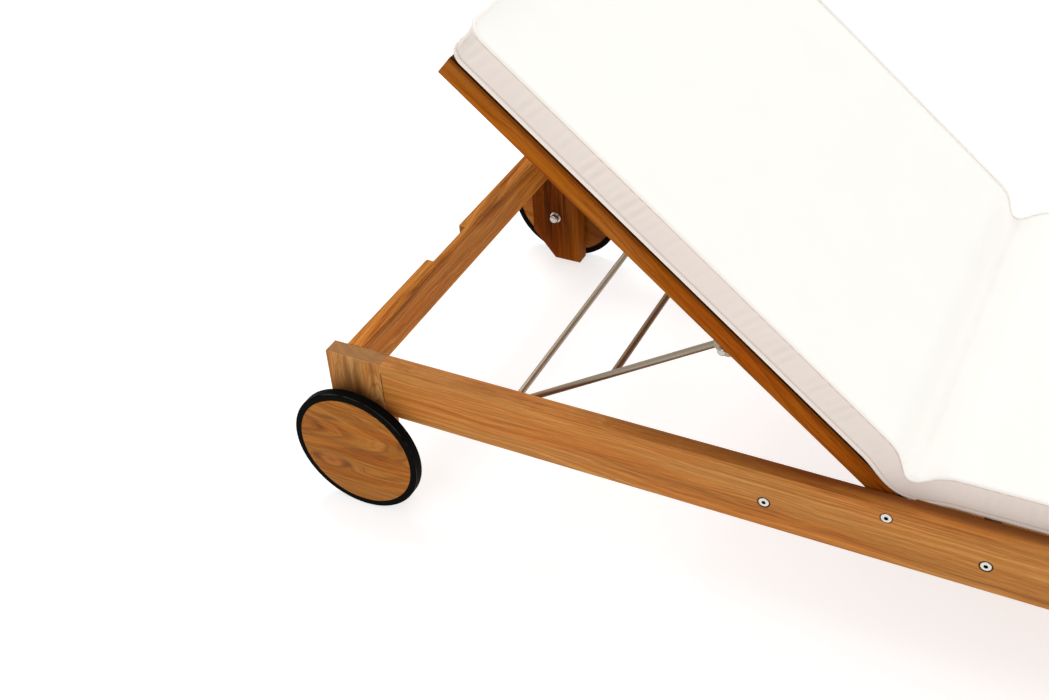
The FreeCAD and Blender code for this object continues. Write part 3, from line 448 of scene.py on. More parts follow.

# %% boards of the box frame
# where along Y, in mm, the painted shade under the mattress's edge starts and ends on the rails' tops
SHADE_FROM, SHADE_TO = 560, 130
LEG_HALF = (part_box("head_leg_left")[1].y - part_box("head_leg_left")[0].y) / 2 / MM
# the near leg's patches above the tyre are partly dark figure and partly painted shade; the far leg's one
# patch is painted shade over the whole leg
LEG_STAINS_AND_SHADE = {
    "left": [(84, 12, 46, 8, 0.9), (70, -3, 60, 7, 0.7), (44, 4, 38, 40, 1.0), (98, -31, 50, 5, 0.6)],
    "right": [(0, 0, 190, 90, 1.0)],
}
LEG_WOOD = {"left": "tan", "right": "red"}
for number, (side, sign) in enumerate(SIDE_SIGNS.items()):
    rail = "side_rail_" + side
    _, rail_y, rail_z = (value / MM for value in middle_of(rail))
    cut_board(rail, "Y", pith=(-118, 62 * sign), seed=3.1 + 7 * number,
              bolts=(first_bolt - rail_y, bolt_height - rail_z, bolt_spacing, BORE_RADIUS),
              damp=(-sign, SHADE_FROM - rail_y, SHADE_TO - rail_y))
    cut_board("head_leg_" + side, "Z", wood=LEG_WOOD[side], pith=(40 * sign, 90), lean=(0.04, 0.1),
              seed=11.7 + 5 * number, stain=LEG_STAINS_AND_SHADE[side], gap=(-LEG_HALF, 82, 30))
    cut_board("foot_leg_" + side, "Z", wood="tan", pith=(70 * sign, -75), seed=21.3 + number)
    for part in ("seat_ledger_", "ratchet_batten_"):
        cut_board(part + side, "Y", pith=(80, 50 * sign), seed=31.9 + number)

CROSS_WOOD = {"head_cross_rail": "amber", "foot_cross_rail": "honey", "hinge_cross_rail": "honey"}
for number, (name, wood) in enumerate(CROSS_WOOD.items()):
    cut_board(name, "X", wood=wood, pith=(58, -48), lean=(0.012, -0.02), seed=44.2 + 9 * number)
print("boards of the box frame:", len([name for name in nodes if "rail" in name or "leg" in name]))

# %% [markdown]
# ## The slats and the backrest
#
# The backrest's boards lie at the rest angle, so their pattern is turned by that angle before it is
# measured: otherwise the grain would run out of the stiles' sides. The wood there is a redder cut. The
# slats of a row share one finish that picks a new stretch of trunk for each slat, because a row that was
# cut from one plank in order would show one pattern running through it.


# %% slats, stiles and backrest rails
def row(prefix):
    """Names of a row of slats in order."""
    return sorted(name for name in nodes if name.startswith(prefix) and name[-1].isdigit())


def step_between(names):
    """Distance between the middles of the first two pieces of a row."""
    first, second = (np.array(middle_of(name)) for name in names[:2])
    return float(np.linalg.norm(second - first)) / MM


# painted shade along the stiles' upper edge, under the mattress's overhang
UPPER_EDGE_SHADE = [(0, 15, 4000, 5, 1.0)]
seat_slats = row("seat_slat_")
back_slats = row("back_slat_")
dress(seat_slats, teak("teak_seat_slats", "X", middle_of(seat_slats[0]), wood="golden", pith=(14, -70),
                       seed=61.0, pitch=step_between(seat_slats)))
dress(back_slats, teak("teak_back_slats", "X", middle_of(back_slats[0]), recline, "golden", pith=(14, -70),
                       seed=83.0, pitch=step_between(back_slats)))
for number, (side, sign) in enumerate(SIDE_SIGNS.items()):
    cut_board("back_stile_" + side, "Y", turn=recline, wood="red", pith=(-40, 66 * sign),
              lean=(0.06, 0.01), seed=91.4 + 3 * number, stain=UPPER_EDGE_SHADE)
for number, name in enumerate(("back_bottom_rail", "back_top_rail")):
    cut_board(name, "X", turn=recline, wood="red", pith=(40, -60), seed=97.7 + number)
print("slats:", len(seat_slats), "in the seat and", len(back_slats), "in the backrest")

# %% [markdown]
# ## The wheel discs
#
# Each disc is turned from a wide board whose grain lies level when the wheel is at rest, and has a small
# knot towards the rim. A dark spot painted on would look like a spill, so the knot pushes the growth
# itself aside and the rings flow round it. It is given as its place along and across the grain and its
# half sizes, and stains as on the legs; the far disc's one large patch is painted shadow of the leg and
# the mattress.

# %% turned discs
EYES = {"left": (47, -31, 36, 11), "right": (-38, 40, 20, 7)}
# the near disc's patches are stains; the far disc's one large patch is painted shadow
DISC_STAINS_AND_SHADE = {
    "left": [(40, 56, 26, 6, 0.6), (-84, 39, 7, 10, 0.6), (10, 8, 70, 9, 0.4)],
    "right": [(-84, -14, 62, 96, 0.95)],
}
for number, (side, sign) in enumerate(SIDE_SIGNS.items()):
    cut_board("wheel_disc_" + side, "Y", wood="wheel", pith=(24, 46 * sign), lean=(0.10, 0.22),
              seed=103.6 + 4 * number, knot=EYES[side], stain=DISC_STAINS_AND_SHADE[side])
print("knots:", EYES)

# %% [markdown]
# ## Steel and rubber
#
# The rods, bolts and nuts are stainless steel: fully metallic, with fine scratches along the rod. The
# scratches could come from an anisotropic shader, but it draws them out evenly everywhere. Here they are
# noise stretched along the piece, which touches roughness and a shallow bump. The rods' warm grey, and
# the brown along their undersides, are a painted reflection of the shaded teak round them; the rod that
# braces the two struts is browner still. A bolt's socket and the gap round its head are painted shade:
# everything deeper than its face is dark. The tyres are matt black rubber, a little dusty, with a
# painted highlight on the thin edges where their shoulders turn.

# %% stainless steel
TEAK_REFLECTION = srgb(86, 58, 38)
RECESS_SHADE = srgb(24, 20, 18)


def steel(name, stretch, base, rough, turn=0.0, underside_reflection=0.0, face_x=0.0):
    """Brushed steel, with scratches drawn out along the direction in which stretch is small.

    The browning of the underside is a painted reflection of the teak, and face_x is the distance of a
    bolt's face from the middle plane: from a third of a millimetre behind that face the steel grows dark
    with painted shade."""
    finish = Finish(name, Metallic=1.0, Specular_IOR_Level=0.5)
    x, y, z = finish.place((0, 0, 0), (turn, 0, 0)).parts()
    where = finish.vector(x * stretch[0], y * stretch[1], z * stretch[2])
    scratches = finish.noise(where, 1, 3, 0.6)
    cloud = finish.noise(finish.vector(x * 0.02, y * 0.02, z * 0.02), 1, 2)
    colour = (cloud * 0.5 + scratches * 0.3).blend(rgba(tuple(c * 0.82 for c in base)), rgba(base))
    # painted reflection of the shaded teak on the underside
    if underside_reflection:
        up = finish.node("TexCoord", {}, {}, out="Normal").parts()[2]
        under = (-up + (cloud - 0.5) * 0.5).ramp(-0.55, 0.5)
        colour = (under * underside_reflection).blend(colour, rgba(TEAK_REFLECTION))
    # painted shade in the socket and in the gap round the bolt's head
    if face_x:
        depth = face_x - abs(x)
        colour = (depth.ramp(0.35, 0.85) * 0.97).blend(colour, rgba(RECESS_SHADE))
    gloss = rough + scratches * 0.16 + cloud * 0.06
    return finish.feed(Base_Color=colour, Roughness=gloss, Normal=finish.bump(scratches, 0.03, 0.5))


# %% rods, plates and bolts
# the warm grey of the steel stands in for the teak's reflection in it: painted reflection
TAN_STEEL = srgb(184, 170, 150)
BROWN_STEEL = srgb(146, 124, 98)
GREY_STEEL = srgb(168, 156, 138)
BOLT_STEEL = srgb(226, 223, 216)
NUT_STEEL = srgb(196, 190, 180)
ALONG_X, ALONG_Y, EVEN = (0.02, 2.2, 2.2), (2.2, 0.02, 2.2), (0.7, 0.7, 0.7)
prop_low, prop_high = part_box("prop_strut_left")
prop_slope = -math.atan2(prop_high.z - prop_low.z, prop_high.y - prop_low.y)
dress(["prop_strut_left", "prop_strut_right"],
      steel("steel_struts", ALONG_Y, TAN_STEEL, 0.3, prop_slope, underside_reflection=0.85))
dress(["prop_pivot_rod", "prop_foot_rod"], steel("steel_rods", ALONG_X, TAN_STEEL, 0.3, underside_reflection=0.85))
dress(["prop_brace_rod"], steel("steel_brace", ALONG_X, BROWN_STEEL, 0.32, underside_reflection=0.95))
dress(["pivot_bracket_left", "pivot_bracket_right", "hub_plate_left", "hub_plate_right", "hinge_washers"],
      steel("steel_plates", (0.9, 0.03, 0.9), GREY_STEEL, 0.36))
for bolts in ("ledger_bolts", "hinge_bolts"):
    dress([bolts], steel("steel_" + bolts, EVEN, BOLT_STEEL, 0.3, face_x=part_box(bolts)[1].x / MM))
dress(["prop_dome_nuts", "axle_dome_nuts", "axle_bolts", "axle_spacers", "seat_slat_screws",
       "back_slat_screws", "bracket_screws"],
      steel("steel_fasteners", EVEN, NUT_STEEL, 0.14))
print("slope of the prop's struts:", round(math.degrees(-prop_slope), 1), "degrees")


# %% rubber
def rubber(name, centre):
    """Black rubber, a little dusty, with a painted highlight on the edges where the tyre's shoulders turn."""
    finish = Finish(name, Specular_IOR_Level=0.015)
    where = finish.place(centre)
    speckle = finish.noise(where * (0.8, 0.8, 0.8), 1, 3)
    smear = finish.noise(where * (0.05, 0.05, 0.05), 1, 2)
    sideways = abs(finish.node("TexCoord", {}, {}, out="Normal").parts()[0])
    # painted highlight along the shoulders, where the tread turns into the side
    edge = sideways.ramp(0.28, 0.5) * (1 - sideways.ramp(0.5, 0.78))
    dust_and_highlight = edge * smear.ramp(0.3, 0.7) * 0.3 + smear * 0.01 + speckle * 0.01
    colour = dust_and_highlight.blend(rgba(srgb(4, 4, 3)), rgba(srgb(120, 118, 112)))
    gloss = 0.42 + smear * 0.2 + speckle * 0.08
    return finish.feed(Base_Color=colour, Roughness=gloss, Normal=finish.bump(speckle, 0.08, 0.5))


for side in SIDE_SIGNS:
    dress(["tyre_" + side], rubber("rubber_tyre_" + side, middle_of("tyre_" + side)))
print("finishes so far:", len(bpy.data.materials))

# %% [markdown]
# ## The shape of the mattress
#
# A boxed mattress is two panels and a border sewn together round a slab of foam. A subdivided box would
# round off its seams, which are crisp, so it is worked out flat as a grid, with a running from foot to
# head, b across and c up, and only then laid over the slats. The surface is the skin of a lattice of
# cells: box_skin numbers the lattice points of the six faces, and points that two faces share get one
# number, so the skin is closed by construction.

# %% sizes from the frame
seat_low, seat_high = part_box("seat_cushion")
back_low, back_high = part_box("back_cushion")
THICK = seat_high.z - seat_low.z
HALF_WIDTH = seat_high.x
FOOT_S = seat_low.y - hinge[1]
LIFT = seat_low.z - hinge[2]
corner_y, corner_z = back_high.y - hinge[1], back_high.z - hinge[2]
HEAD_S = corner_z / math.sin(recline) - (LIFT + THICK) / math.tan(recline)
print("mattress:", round(HEAD_S - FOOT_S, 4), "long,", 2 * HALF_WIDTH, "wide,", round(THICK, 4), "thick")


# %% the skin of a lattice
def box_skin(cells):
    """Lattice points (as whole numbers) and outward quads of the skin of a box of cells.

    Each face is a grid. A face's quads are turned the other way when its normal would point inwards."""
    counts = np.array(cells) + 1
    corners = []
    for axis in range(3):
        u, v = [other for other in range(3) if other != axis]
        i, j = np.meshgrid(np.arange(cells[u]), np.arange(cells[v]), indexing="ij")
        for end in (0, cells[axis]):
            ring = [(i, j), (i + 1, j), (i + 1, j + 1), (i, j + 1)]
            outward = (end > 0) == (axis != 1)
            ring = ring if outward else ring[::-1]
            face = np.empty(i.shape + (4, 3), int)
            for place, (p, q) in enumerate(ring):
                face[..., place, axis] = end
                face[..., place, u] = p
                face[..., place, v] = q
            corners.append(face.reshape(-1, 4, 3))
    corners = np.concatenate(corners)
    codes = (corners[..., 0] * counts[1] + corners[..., 1]) * counts[2] + corners[..., 2]
    unique, quads = np.unique(codes, return_inverse=True)
    points = np.stack([unique // (counts[1] * counts[2]), unique // counts[2] % counts[1],
                       unique % counts[2]], 1)
    return points, quads.reshape(-1, 4), corners


def mesh_object(name, vertices, faces, smooth=True):
    """A mesh object from an array of points and an array of equal faces."""
    mesh = bpy.data.meshes.new(name)
    sides = faces.shape[1]
    mesh.vertices.add(len(vertices))
    mesh.vertices.foreach_set("co", np.asarray(vertices, np.float32).ravel())
    mesh.loops.add(faces.size)
    mesh.loops.foreach_set("vertex_index", faces.ravel().astype(np.int32))
    mesh.polygons.add(len(faces))
    mesh.polygons.foreach_set("loop_start", np.arange(0, faces.size, sides, dtype=np.int32))
    mesh.polygons.foreach_set("use_smooth", np.full(len(faces), smooth))
    mesh.update(calc_edges=True)
    mesh.validate()
    made = bpy.data.objects.new(name, mesh)
    bpy.context.scene.collection.objects.link(made)
    return made


# %% [markdown]
# ## From the lattice to a flat mattress
#
# The panels have round corners in plan. Cutting them out would leave slivers at the edge, so the whole
# grid is pressed into the round shape. A square ring of points becomes a round one when each point's
# offset from the inner rectangle keeps its larger component as its length, which is what round_plan does.

# %% flat shape
CORNER = 22 * MM


def round_plan(x, s):
    """Rounds the four corners of the plan: beyond the inner rectangle, the square offset is shortened
    to the length of its larger component, so squares turn into circles."""
    middle = (FOOT_S + HEAD_S) / 2
    inner_x, inner_s = HALF_WIDTH - CORNER, (HEAD_S - FOOT_S) / 2 - CORNER
    along = s - middle
    out_x = x - np.clip(x, -inner_x, inner_x)
    out_s = along - np.clip(along, -inner_s, inner_s)
    square = np.maximum(np.abs(out_x), np.abs(out_s))
    length = np.hypot(out_x, out_s)
    share = np.where(length > 0, square / np.where(length > 0, length, 1), 1)
    return x - out_x * (1 - share), middle + along - out_s * (1 - share)


def crowd(t, amount):
    """Moves values from 0 to 1 towards both ends: t - amount sin(2 pi t) / (2 pi)."""
    return t - amount * np.sin(2 * np.pi * t) / (2 * np.pi)


def flat_mattress(a, b, c):
    """Flat positions (x, s, n): across, along from the hinge, and up from the slats."""
    x, s = round_plan(HALF_WIDTH * (2 * crowd(b, 0.6) - 1), FOOT_S + (HEAD_S - FOOT_S) * a)
    return np.stack([x, s, THICK * c], -1)


# %% [markdown]
# ## Filling it: cloth simulation
#
# The cover is drum-tight over the foam, so the swell of the panels and the border comes from a cloth
# simulation: a coarse skin of the cover, with its seams held, is blown up by a little pressure, with
# gravity off. How far a point may move is limited softly, because foam is flat where air would make a
# balloon. The result is a field of small moves, which the fine mattress then takes over.

# %% simulate the cover
COARSE = (112, 38, 4)
BLOW_STEPS = 20
PANEL_SWELL = 7.5 * MM
BORDER_SWELL = 2.6 * MM


def simulate_cover():
    """Moves of the coarse lattice's points under pressure, as a 4-D array (a, b, c, xyz)."""
    lattice, quads, _ = box_skin(COARSE)
    shares = lattice / np.array(COARSE)
    rest = flat_mattress(*shares.T)
    cover = mesh_object("cover", rest, quads)
    at_edge = lattice % COARSE == 0
    seam = at_edge[:, 2] & (at_edge[:, 0] | at_edge[:, 1])
    group = cover.vertex_groups.new(name="seams")
    group.add(np.flatnonzero(seam).tolist(), 1.0, "REPLACE")
    cloth = cover.modifiers.new("Cloth", "CLOTH")
    settings = cloth.settings
    settings.quality = 6
    settings.mass = 0.25
    settings.tension_stiffness = 12
    settings.compression_stiffness = 12
    settings.shear_stiffness = 4
    settings.bending_stiffness = 0.4
    settings.use_pressure = True
    settings.uniform_pressure_force = 4
    settings.vertex_group_mass = group.name
    settings.pin_stiffness = 1
    settings.shrink_min = -0.012
    settings.effector_weights.gravity = 0
    scene = bpy.context.scene
    for step in range(1, BLOW_STEPS + 1):
        scene.frame_set(step)
    done = cover.evaluated_get(bpy.context.evaluated_depsgraph_get()).data
    blown = np.empty(len(rest) * 3)
    done.vertices.foreach_get("co", blown)
    scene.frame_set(1)
    bpy.data.objects.remove(cover)
    field = np.zeros(tuple(np.array(COARSE) + 1) + (3,))
    field[tuple(lattice.T)] = blown.reshape(-1, 3) - rest
    return field


def limit(moves, cap):
    """Shortens each move smoothly so that none is longer than cap: cap tanh(length / cap)."""
    length = np.linalg.norm(moves, axis=-1, keepdims=True)
    return moves * np.where(length > 0, cap * np.tanh(length / cap) / np.where(length > 0, length, 1), 1)


def ironed(field, passes=6):
    """Takes the short wrinkles out of the moves: each point along the length becomes a quarter, a half
    and a quarter of its neighbours and itself, several times. The two ends stay."""
    for _ in range(passes):
        field[1:-1] = (field[:-2] + 2 * field[1:-1] + field[2:]) / 4
    return field


cover_moves = ironed(simulate_cover())
print("largest move of the cover:", round(float(np.linalg.norm(cover_moves, axis=-1).max()) / MM, 1), "mm")

# %% [markdown]
# ## The fine mattress
#
# Simulating a skin fine enough for creases would take too long. So the coarse moves are carried to a much
# finer skin by smooth interpolation along each direction of a face. Then come the details that a
# simulation this coarse can't hold: the puckers that gather along the border, the hem below its stitched
# line, and slow waves in the top panel.

# %% interpolation
FINE = (748, 40, 14)


def weights(shares, cells):
    """Rows of cubic (Catmull-Rom) weights that read a grid of cells + 1 values at shares from 0 to 1."""
    place = np.clip(shares * cells, 0, cells)
    start = np.minimum(place.astype(int), cells - 1)
    t = place - start
    cubic = [(-t + 2 * t**2 - t**3) / 2, (2 - 5 * t**2 + 3 * t**3) / 2,
             (t + 4 * t**2 - 3 * t**3) / 2, (t**3 - t**2) / 2]
    table = np.zeros((len(shares), cells + 1))
    for offset, weight in zip((-1, 0, 1, 2), cubic):
        np.add.at(table, (np.arange(len(shares)), np.clip(start + offset, 0, cells)), weight)
    return table


def spread(field, fine):
    """The coarse field read at the fine lattice, on its skin: each face is resampled as a surface."""
    tables = [weights(np.linspace(0, 1, n + 1), coarse) for n, coarse in zip(fine, COARSE)]
    result = np.zeros(tuple(np.array(fine) + 1) + (3,))
    for axis in range(3):
        u, v = [other for other in range(3) if other != axis]
        for end in (0, -1):
            face = np.take(field, end, axis=axis)
            smooth = np.einsum("pi,qj,ijk->pqk", tables[u], tables[v], face)
            place = [slice(None)] * 3
            place[axis] = end
            result[tuple(place)] = smooth
    return result


# %% slow noise along a line and over a plane
def waves(seed, x, lengths, spread_of=0.35):
    """A sum of sines with wavelengths near the given ones and random phases, from about -1 to 1."""
    chance = np.random.default_rng(seed)
    total = np.zeros_like(x)
    for length in lengths:
        wavelength = length * (1 + spread_of * (chance.random() - 0.5))
        total = total + np.sin(2 * np.pi * (x / wavelength + chance.random()))
    return total / len(lengths)


# %% puckers, hem and seams
HEM = 6.5 * MM
PUCKER = 0.9 * MM
CLOTH = 0.5 * MM
STITCH_PULL = 0.7 * MM
ROLLING = 1.6 * MM


def border_relief(path, height):
    """How far the border stands out at a place along it and a height above its lower edge.

    Puckers are short waves along the path whose strength comes and goes in slow groups. They are
    strongest half way up and die out at both seams. The hem below the stitched line is flat and
    doubled, so it stands out by the cloth's own thickness, with a groove where the thread pulls."""
    up = np.clip((height - HEM) / (THICK - HEM), 0, 1)
    groups = np.clip(waves(5, path, (190 * MM, 83 * MM, 57 * MM)) + 0.85, 0, 1)
    short = waves(9, path + 6 * MM * up, (11.5 * MM, 13 * MM, 16 * MM))
    folds = PUCKER * 1.9 * groups * short * np.sin(np.pi * up) ** 0.8
    hem = CLOTH * np.where(height < HEM, 1, 0)
    groove = -STITCH_PULL * np.exp(-(((height - HEM) / (1.6 * MM)) ** 2))
    return folds + hem + groove


def sew(a, b, c, moves):
    """Flat positions plus the capped moves of the cover, the border's relief along the outward direction,
    and the top panel's slow waves, a product of sums of sines."""
    flat = flat_mattress(a, b, c)
    x, s, n = flat.T
    on_border = (a == 0) | (a == 1) | (b == 0) | (b == 1)
    on_panel = (c == 0) | (c == 1)
    inside = (on_panel & ~on_border)[:, None]
    capped = np.where(inside, limit(moves, PANEL_SWELL), limit(moves, BORDER_SWELL))
    capped[c == 0] = 0
    path = np.where((a == 0) | (a == 1), x + 3, s) + np.where(b == 1, 7, 0)
    relief = np.where(on_border & ~on_panel, border_relief(path, n), 0)
    inner_x = np.clip(x, CORNER - HALF_WIDTH, HALF_WIDTH - CORNER)
    inner_s = np.clip(s, FOOT_S + CORNER, HEAD_S - CORNER)
    outward = flat[:, :2] - np.stack([inner_x, inner_s], 1)
    outward /= np.maximum(np.linalg.norm(outward, axis=1, keepdims=True), 1e-9)
    shaped = flat + capped
    shaped[:, :2] += outward * relief[:, None]
    rolling = waves(21, x, (310 * MM, 170 * MM)) * waves(22, s, (260 * MM, 150 * MM, 410 * MM))
    shaped[:, 2] += np.where((c == 1) & ~on_border, rolling * ROLLING, 0)
    return shaped


# %% [markdown]
# ## Laying it over the hinge
#
# The mattress is one piece that folds where the backrest is hinged. Two pads that meet there would leave
# a gap when the backrest lies flat. So the mattress follows the seat up to a little before the hinge and
# the backrest from a little after it. In between, each section turns about the hinge by a smoothly
# growing share of the rest angle. The inside of the fold has less room than the slab needs, so a sewn
# channel lets it sink there.

# %% bend about the hinge
BEND_HALF = 75 * MM
CHANNEL = 17 * MM
CHANNEL_HALF = 34 * MM
MOST_SINK = 1.3
BACK_CLEARANCE = 1.0 * MM


def smoothstep(t):
    """0 below 0, 1 above 1, and 3 t^2 - 2 t^3 between."""
    t = np.clip(t, 0, 1)
    return t * t * (3 - 2 * t)


def lay(flat):
    """Bends flat positions (x, s, n) about the hinge: (s, n) turned by a share of the rest angle that is
    a smooth step of s. The channel, a bell of s, is first sunk into the upper side."""
    x, s, n = flat.T
    up = np.clip(n / THICK, 0, MOST_SINK)
    n = n - CHANNEL * np.exp(-((s / CHANNEL_HALF) ** 2)) * up
    angle = recline * smoothstep((s + BEND_HALF) / (2 * BEND_HALF))
    above = LIFT + n + BACK_CLEARANCE * smoothstep(s / BEND_HALF)
    y = hinge[1] + s * np.cos(angle) - above * np.sin(angle)
    z = hinge[2] + s * np.sin(angle) + above * np.cos(angle)
    return np.stack([x, y, z], -1)


def fold_with_backrest(piece):
    """Bakes the piece's transform into its mesh; lay has already bent it over the hinge."""
    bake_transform(piece)


# %% the mattress
lattice, quads, corners = box_skin(FINE)
shares = lattice / np.array(FINE)
fine_moves = spread(cover_moves, FINE)[tuple(lattice.T)]
laid = lay(sew(*shares.T, fine_moves))
mattress = mesh_object("mattress", laid, quads)
print("mattress:", len(quads), "quads, from", laid.min(0).round(3), "to", laid.max(0).round(3))

# %% [markdown]
# ## A map of the cloth
#
# Canvas has threads that follow every fold. A weave on object coordinates would cut straight through the
# fold, so each face of the skin gets UV coordinates in metres from the flat shape: across and along on
# the panels, along and up on the border.

# %% cloth coordinates
flat_corners = flat_mattress(*(corners.reshape(-1, 3) / np.array(FINE)).T).reshape(-1, 4, 3)
extent = corners.max(1) - corners.min(1)
on_panel, on_side = ((extent[:, axis] == 0)[:, None, None] for axis in (2, 1))
uv = np.where(on_panel, flat_corners[..., [0, 1]],
              np.where(on_side, flat_corners[..., [1, 2]], flat_corners[..., [0, 2]]))
layer = mattress.data.uv_layers.new(name="cloth")
layer.data.foreach_set("uv", uv.astype(np.float32).ravel())
print("cloth map from", uv.min((0, 1)).round(3), "to", uv.max((0, 1)).round(3), "m")


# %% canvas
HEM_WHITE = srgb(246, 238, 232)
SEAM_SHADE = srgb(200, 176, 156)
SEAM_DROP = 4.9


def canvas(name, tint, weave_mm=0.9, border=False):
    """Off-white outdoor canvas: a plain weave of two crossing sine ridges, mottled by slow noise.

    On the border, where v is the height, the doubled hem is a little paler, and painted shade darkens the
    cloth in the stitched groove above it and under the piping."""
    finish = Finish(name, Sheen_Weight=0.15, Sheen_Roughness=0.6, Specular_IOR_Level=0.2)
    cloth = finish.node("UVMap", {"uv_map": "cloth"}, {})
    u, v, _ = (cloth * (1 / MM, 1 / MM, 1 / MM)).parts()
    turn = 2 * math.pi / weave_mm
    warp = (u * turn).apply("SINE")
    weft = (v * turn).apply("SINE")
    weave = warp * weft * 0.5 + 0.5
    slub = finish.noise(finish.vector(u * 0.05, v * 0.7, 0), 1, 2)
    mottle = finish.noise(finish.vector(u * 0.012, v * 0.012, 3), 1, 3)
    shade = weave * 0.25 + slub * 0.3 + mottle * 0.45
    colour = shade.blend(rgba(tuple(c * 0.93 for c in tint)), rgba(tint))
    if border:
        hem = 1 - v.ramp(HEM / MM - 1.2, HEM / MM - 0.4)
        colour = (hem * 0.5).blend(colour, rgba(HEM_WHITE))
        # painted shade in the stitched groove and under the piping
        groove = 1 - abs(v - (HEM / MM + 0.2)).ramp(0.3, 1.3)
        top = 1 - abs(v - (THICK / MM - SEAM_DROP)).ramp(0.4, 1.5)
        colour = (groove * 0.45 + top * 0.8).blend(colour, rgba(SEAM_SHADE))
    gloss = 0.86 + weave * 0.08
    return finish.feed(Base_Color=colour, Roughness=gloss, Normal=finish.bump(weave + slub, 0.06, 0.5))


# %% panels and border
PANEL_WHITE = srgb(247, 245, 240)
# the border is the panels' canvas; its darker, pinker white is painted shade with warm light bounced from the
# teak
BORDER_SHADED_WHITE = srgb(236, 224, 215)
PIPING_WHITE = srgb(247, 242, 236)
mattress.data.materials.append(canvas("canvas_panels", PANEL_WHITE))
mattress.data.materials.append(canvas("canvas_border", BORDER_SHADED_WHITE, border=True))
mattress.data.polygons.foreach_set("material_index", (extent[:, 2] > 0).astype(np.int32))
fold_with_backrest(mattress)
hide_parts("seat_cushion", "back_cushion")
print("faces of the border:", int((extent[:, 2] > 0).sum()), "of", len(quads))

# %% [markdown]
# ## Piping
#
# The top panel and the border meet in a rolled seam, a thin tube that runs once round the mattress. A
# bevelled curve would make one, but not one that follows the fold ring by ring. So it is a circle carried
# along the seam's path: at each station, the circle lies in the plane of the outward direction and the up
# direction of the flat mattress, and the whole tube is then laid over the hinge.

# %% the path of a seam
LONG_SIDE, SHORT_SIDE = 400, 200


def seam_path(spacing):
    """Points round the flat plan with their outward and forward directions and their distance along it.

    A square from -1 to 1 is sampled side by side, stretched and rounded like the plan, and then read at
    even distances. Forward is the difference of the neighbours, and outward is square to it."""
    long_way = np.linspace(-1, 1, LONG_SIDE, endpoint=False)
    short_way = np.linspace(-1, 1, SHORT_SIDE, endpoint=False)
    long_side = np.stack([np.full(LONG_SIDE, -1.0), long_way], 1)
    short_side = np.stack([short_way, np.full(SHORT_SIDE, 1.0)], 1)
    square = np.concatenate([long_side, short_side, -long_side, -short_side])
    length = HEAD_S - FOOT_S
    x, s = round_plan(square[:, 0] * HALF_WIDTH, FOOT_S + length * (square[:, 1] + 1) / 2)
    loop = np.stack([x, s], 1)
    closed = np.concatenate([loop, loop[:1]])
    run = np.concatenate([[0], np.cumsum(np.linalg.norm(np.diff(closed, axis=0), axis=1))])
    count = int(round(run[-1] / spacing))
    stations = np.arange(count) * run[-1] / count
    points = np.stack([np.interp(stations, run, closed[:, k]) for k in (0, 1)], 1)
    ahead = np.roll(points, -1, axis=0) - np.roll(points, 1, axis=0)
    ahead /= np.linalg.norm(ahead, axis=1, keepdims=True)
    outward = np.stack([-ahead[:, 1], ahead[:, 0]], 1)
    return points, outward, ahead, stations


def tube_faces(stations, sides):
    """Quads of a closed ring of closed profiles, wound outwards."""
    i, j = np.meshgrid(np.arange(stations), np.arange(sides), indexing="ij")
    after_i, after_j = (i + 1) % stations, (j + 1) % sides
    return np.stack([i * sides + after_j, after_i * sides + after_j, after_i * sides + j, i * sides + j],
                    -1).reshape(-1, 4)


# %% piping
PIPING = 2.6 * MM
PIPING_OUT = 1.2 * MM
PIPING_SIDES = 10
points, outward, ahead, stations = seam_path(5 * MM)
turn = np.arange(PIPING_SIDES) * 2 * np.pi / PIPING_SIDES
radius = PIPING * (1 + 0.05 * waves(31, stations, (14 * MM, 23 * MM)))[:, None]
reach = (radius * np.cos(turn))[..., None]
ring_xy = points[:, None] + outward[:, None] * (reach + PIPING_OUT)
ring_n = THICK + radius * np.sin(turn)
ring = np.concatenate([ring_xy, ring_n[..., None]], -1).reshape(-1, 3)
tube = tube_faces(len(points), PIPING_SIDES)
piping = mesh_object("mattress_piping", lay(ring), tube)
piping_uv = piping.data.uv_layers.new(name="cloth")
station, side_of_ring = np.divmod(tube.ravel(), PIPING_SIDES)
along_uv = np.stack([stations[station], side_of_ring * PIPING * 0.6], 1)
piping_uv.data.foreach_set("uv", along_uv.astype(np.float32).ravel())
piping.data.materials.append(canvas("canvas_piping", PIPING_WHITE, 0.8))
fold_with_backrest(piping)
print("piping:", round(float(stations[-1]), 3), "m long")

# %% [markdown]
# ## Stitches
#
# The hem is held by a row of stitches a few millimetres above the lower edge. A dashed line in the finish
# would look printed from near by, so each stitch is a solid, though a small and cheap one: a tiny
# spindle, a hexagon that swells and shrinks along its length, with closed tips. The row repeats it, each
# one turned into the direction of the seam and pressed half into the cloth.

# %% one stitch
STITCH_RINGS, STITCH_SIDES = 3, 6


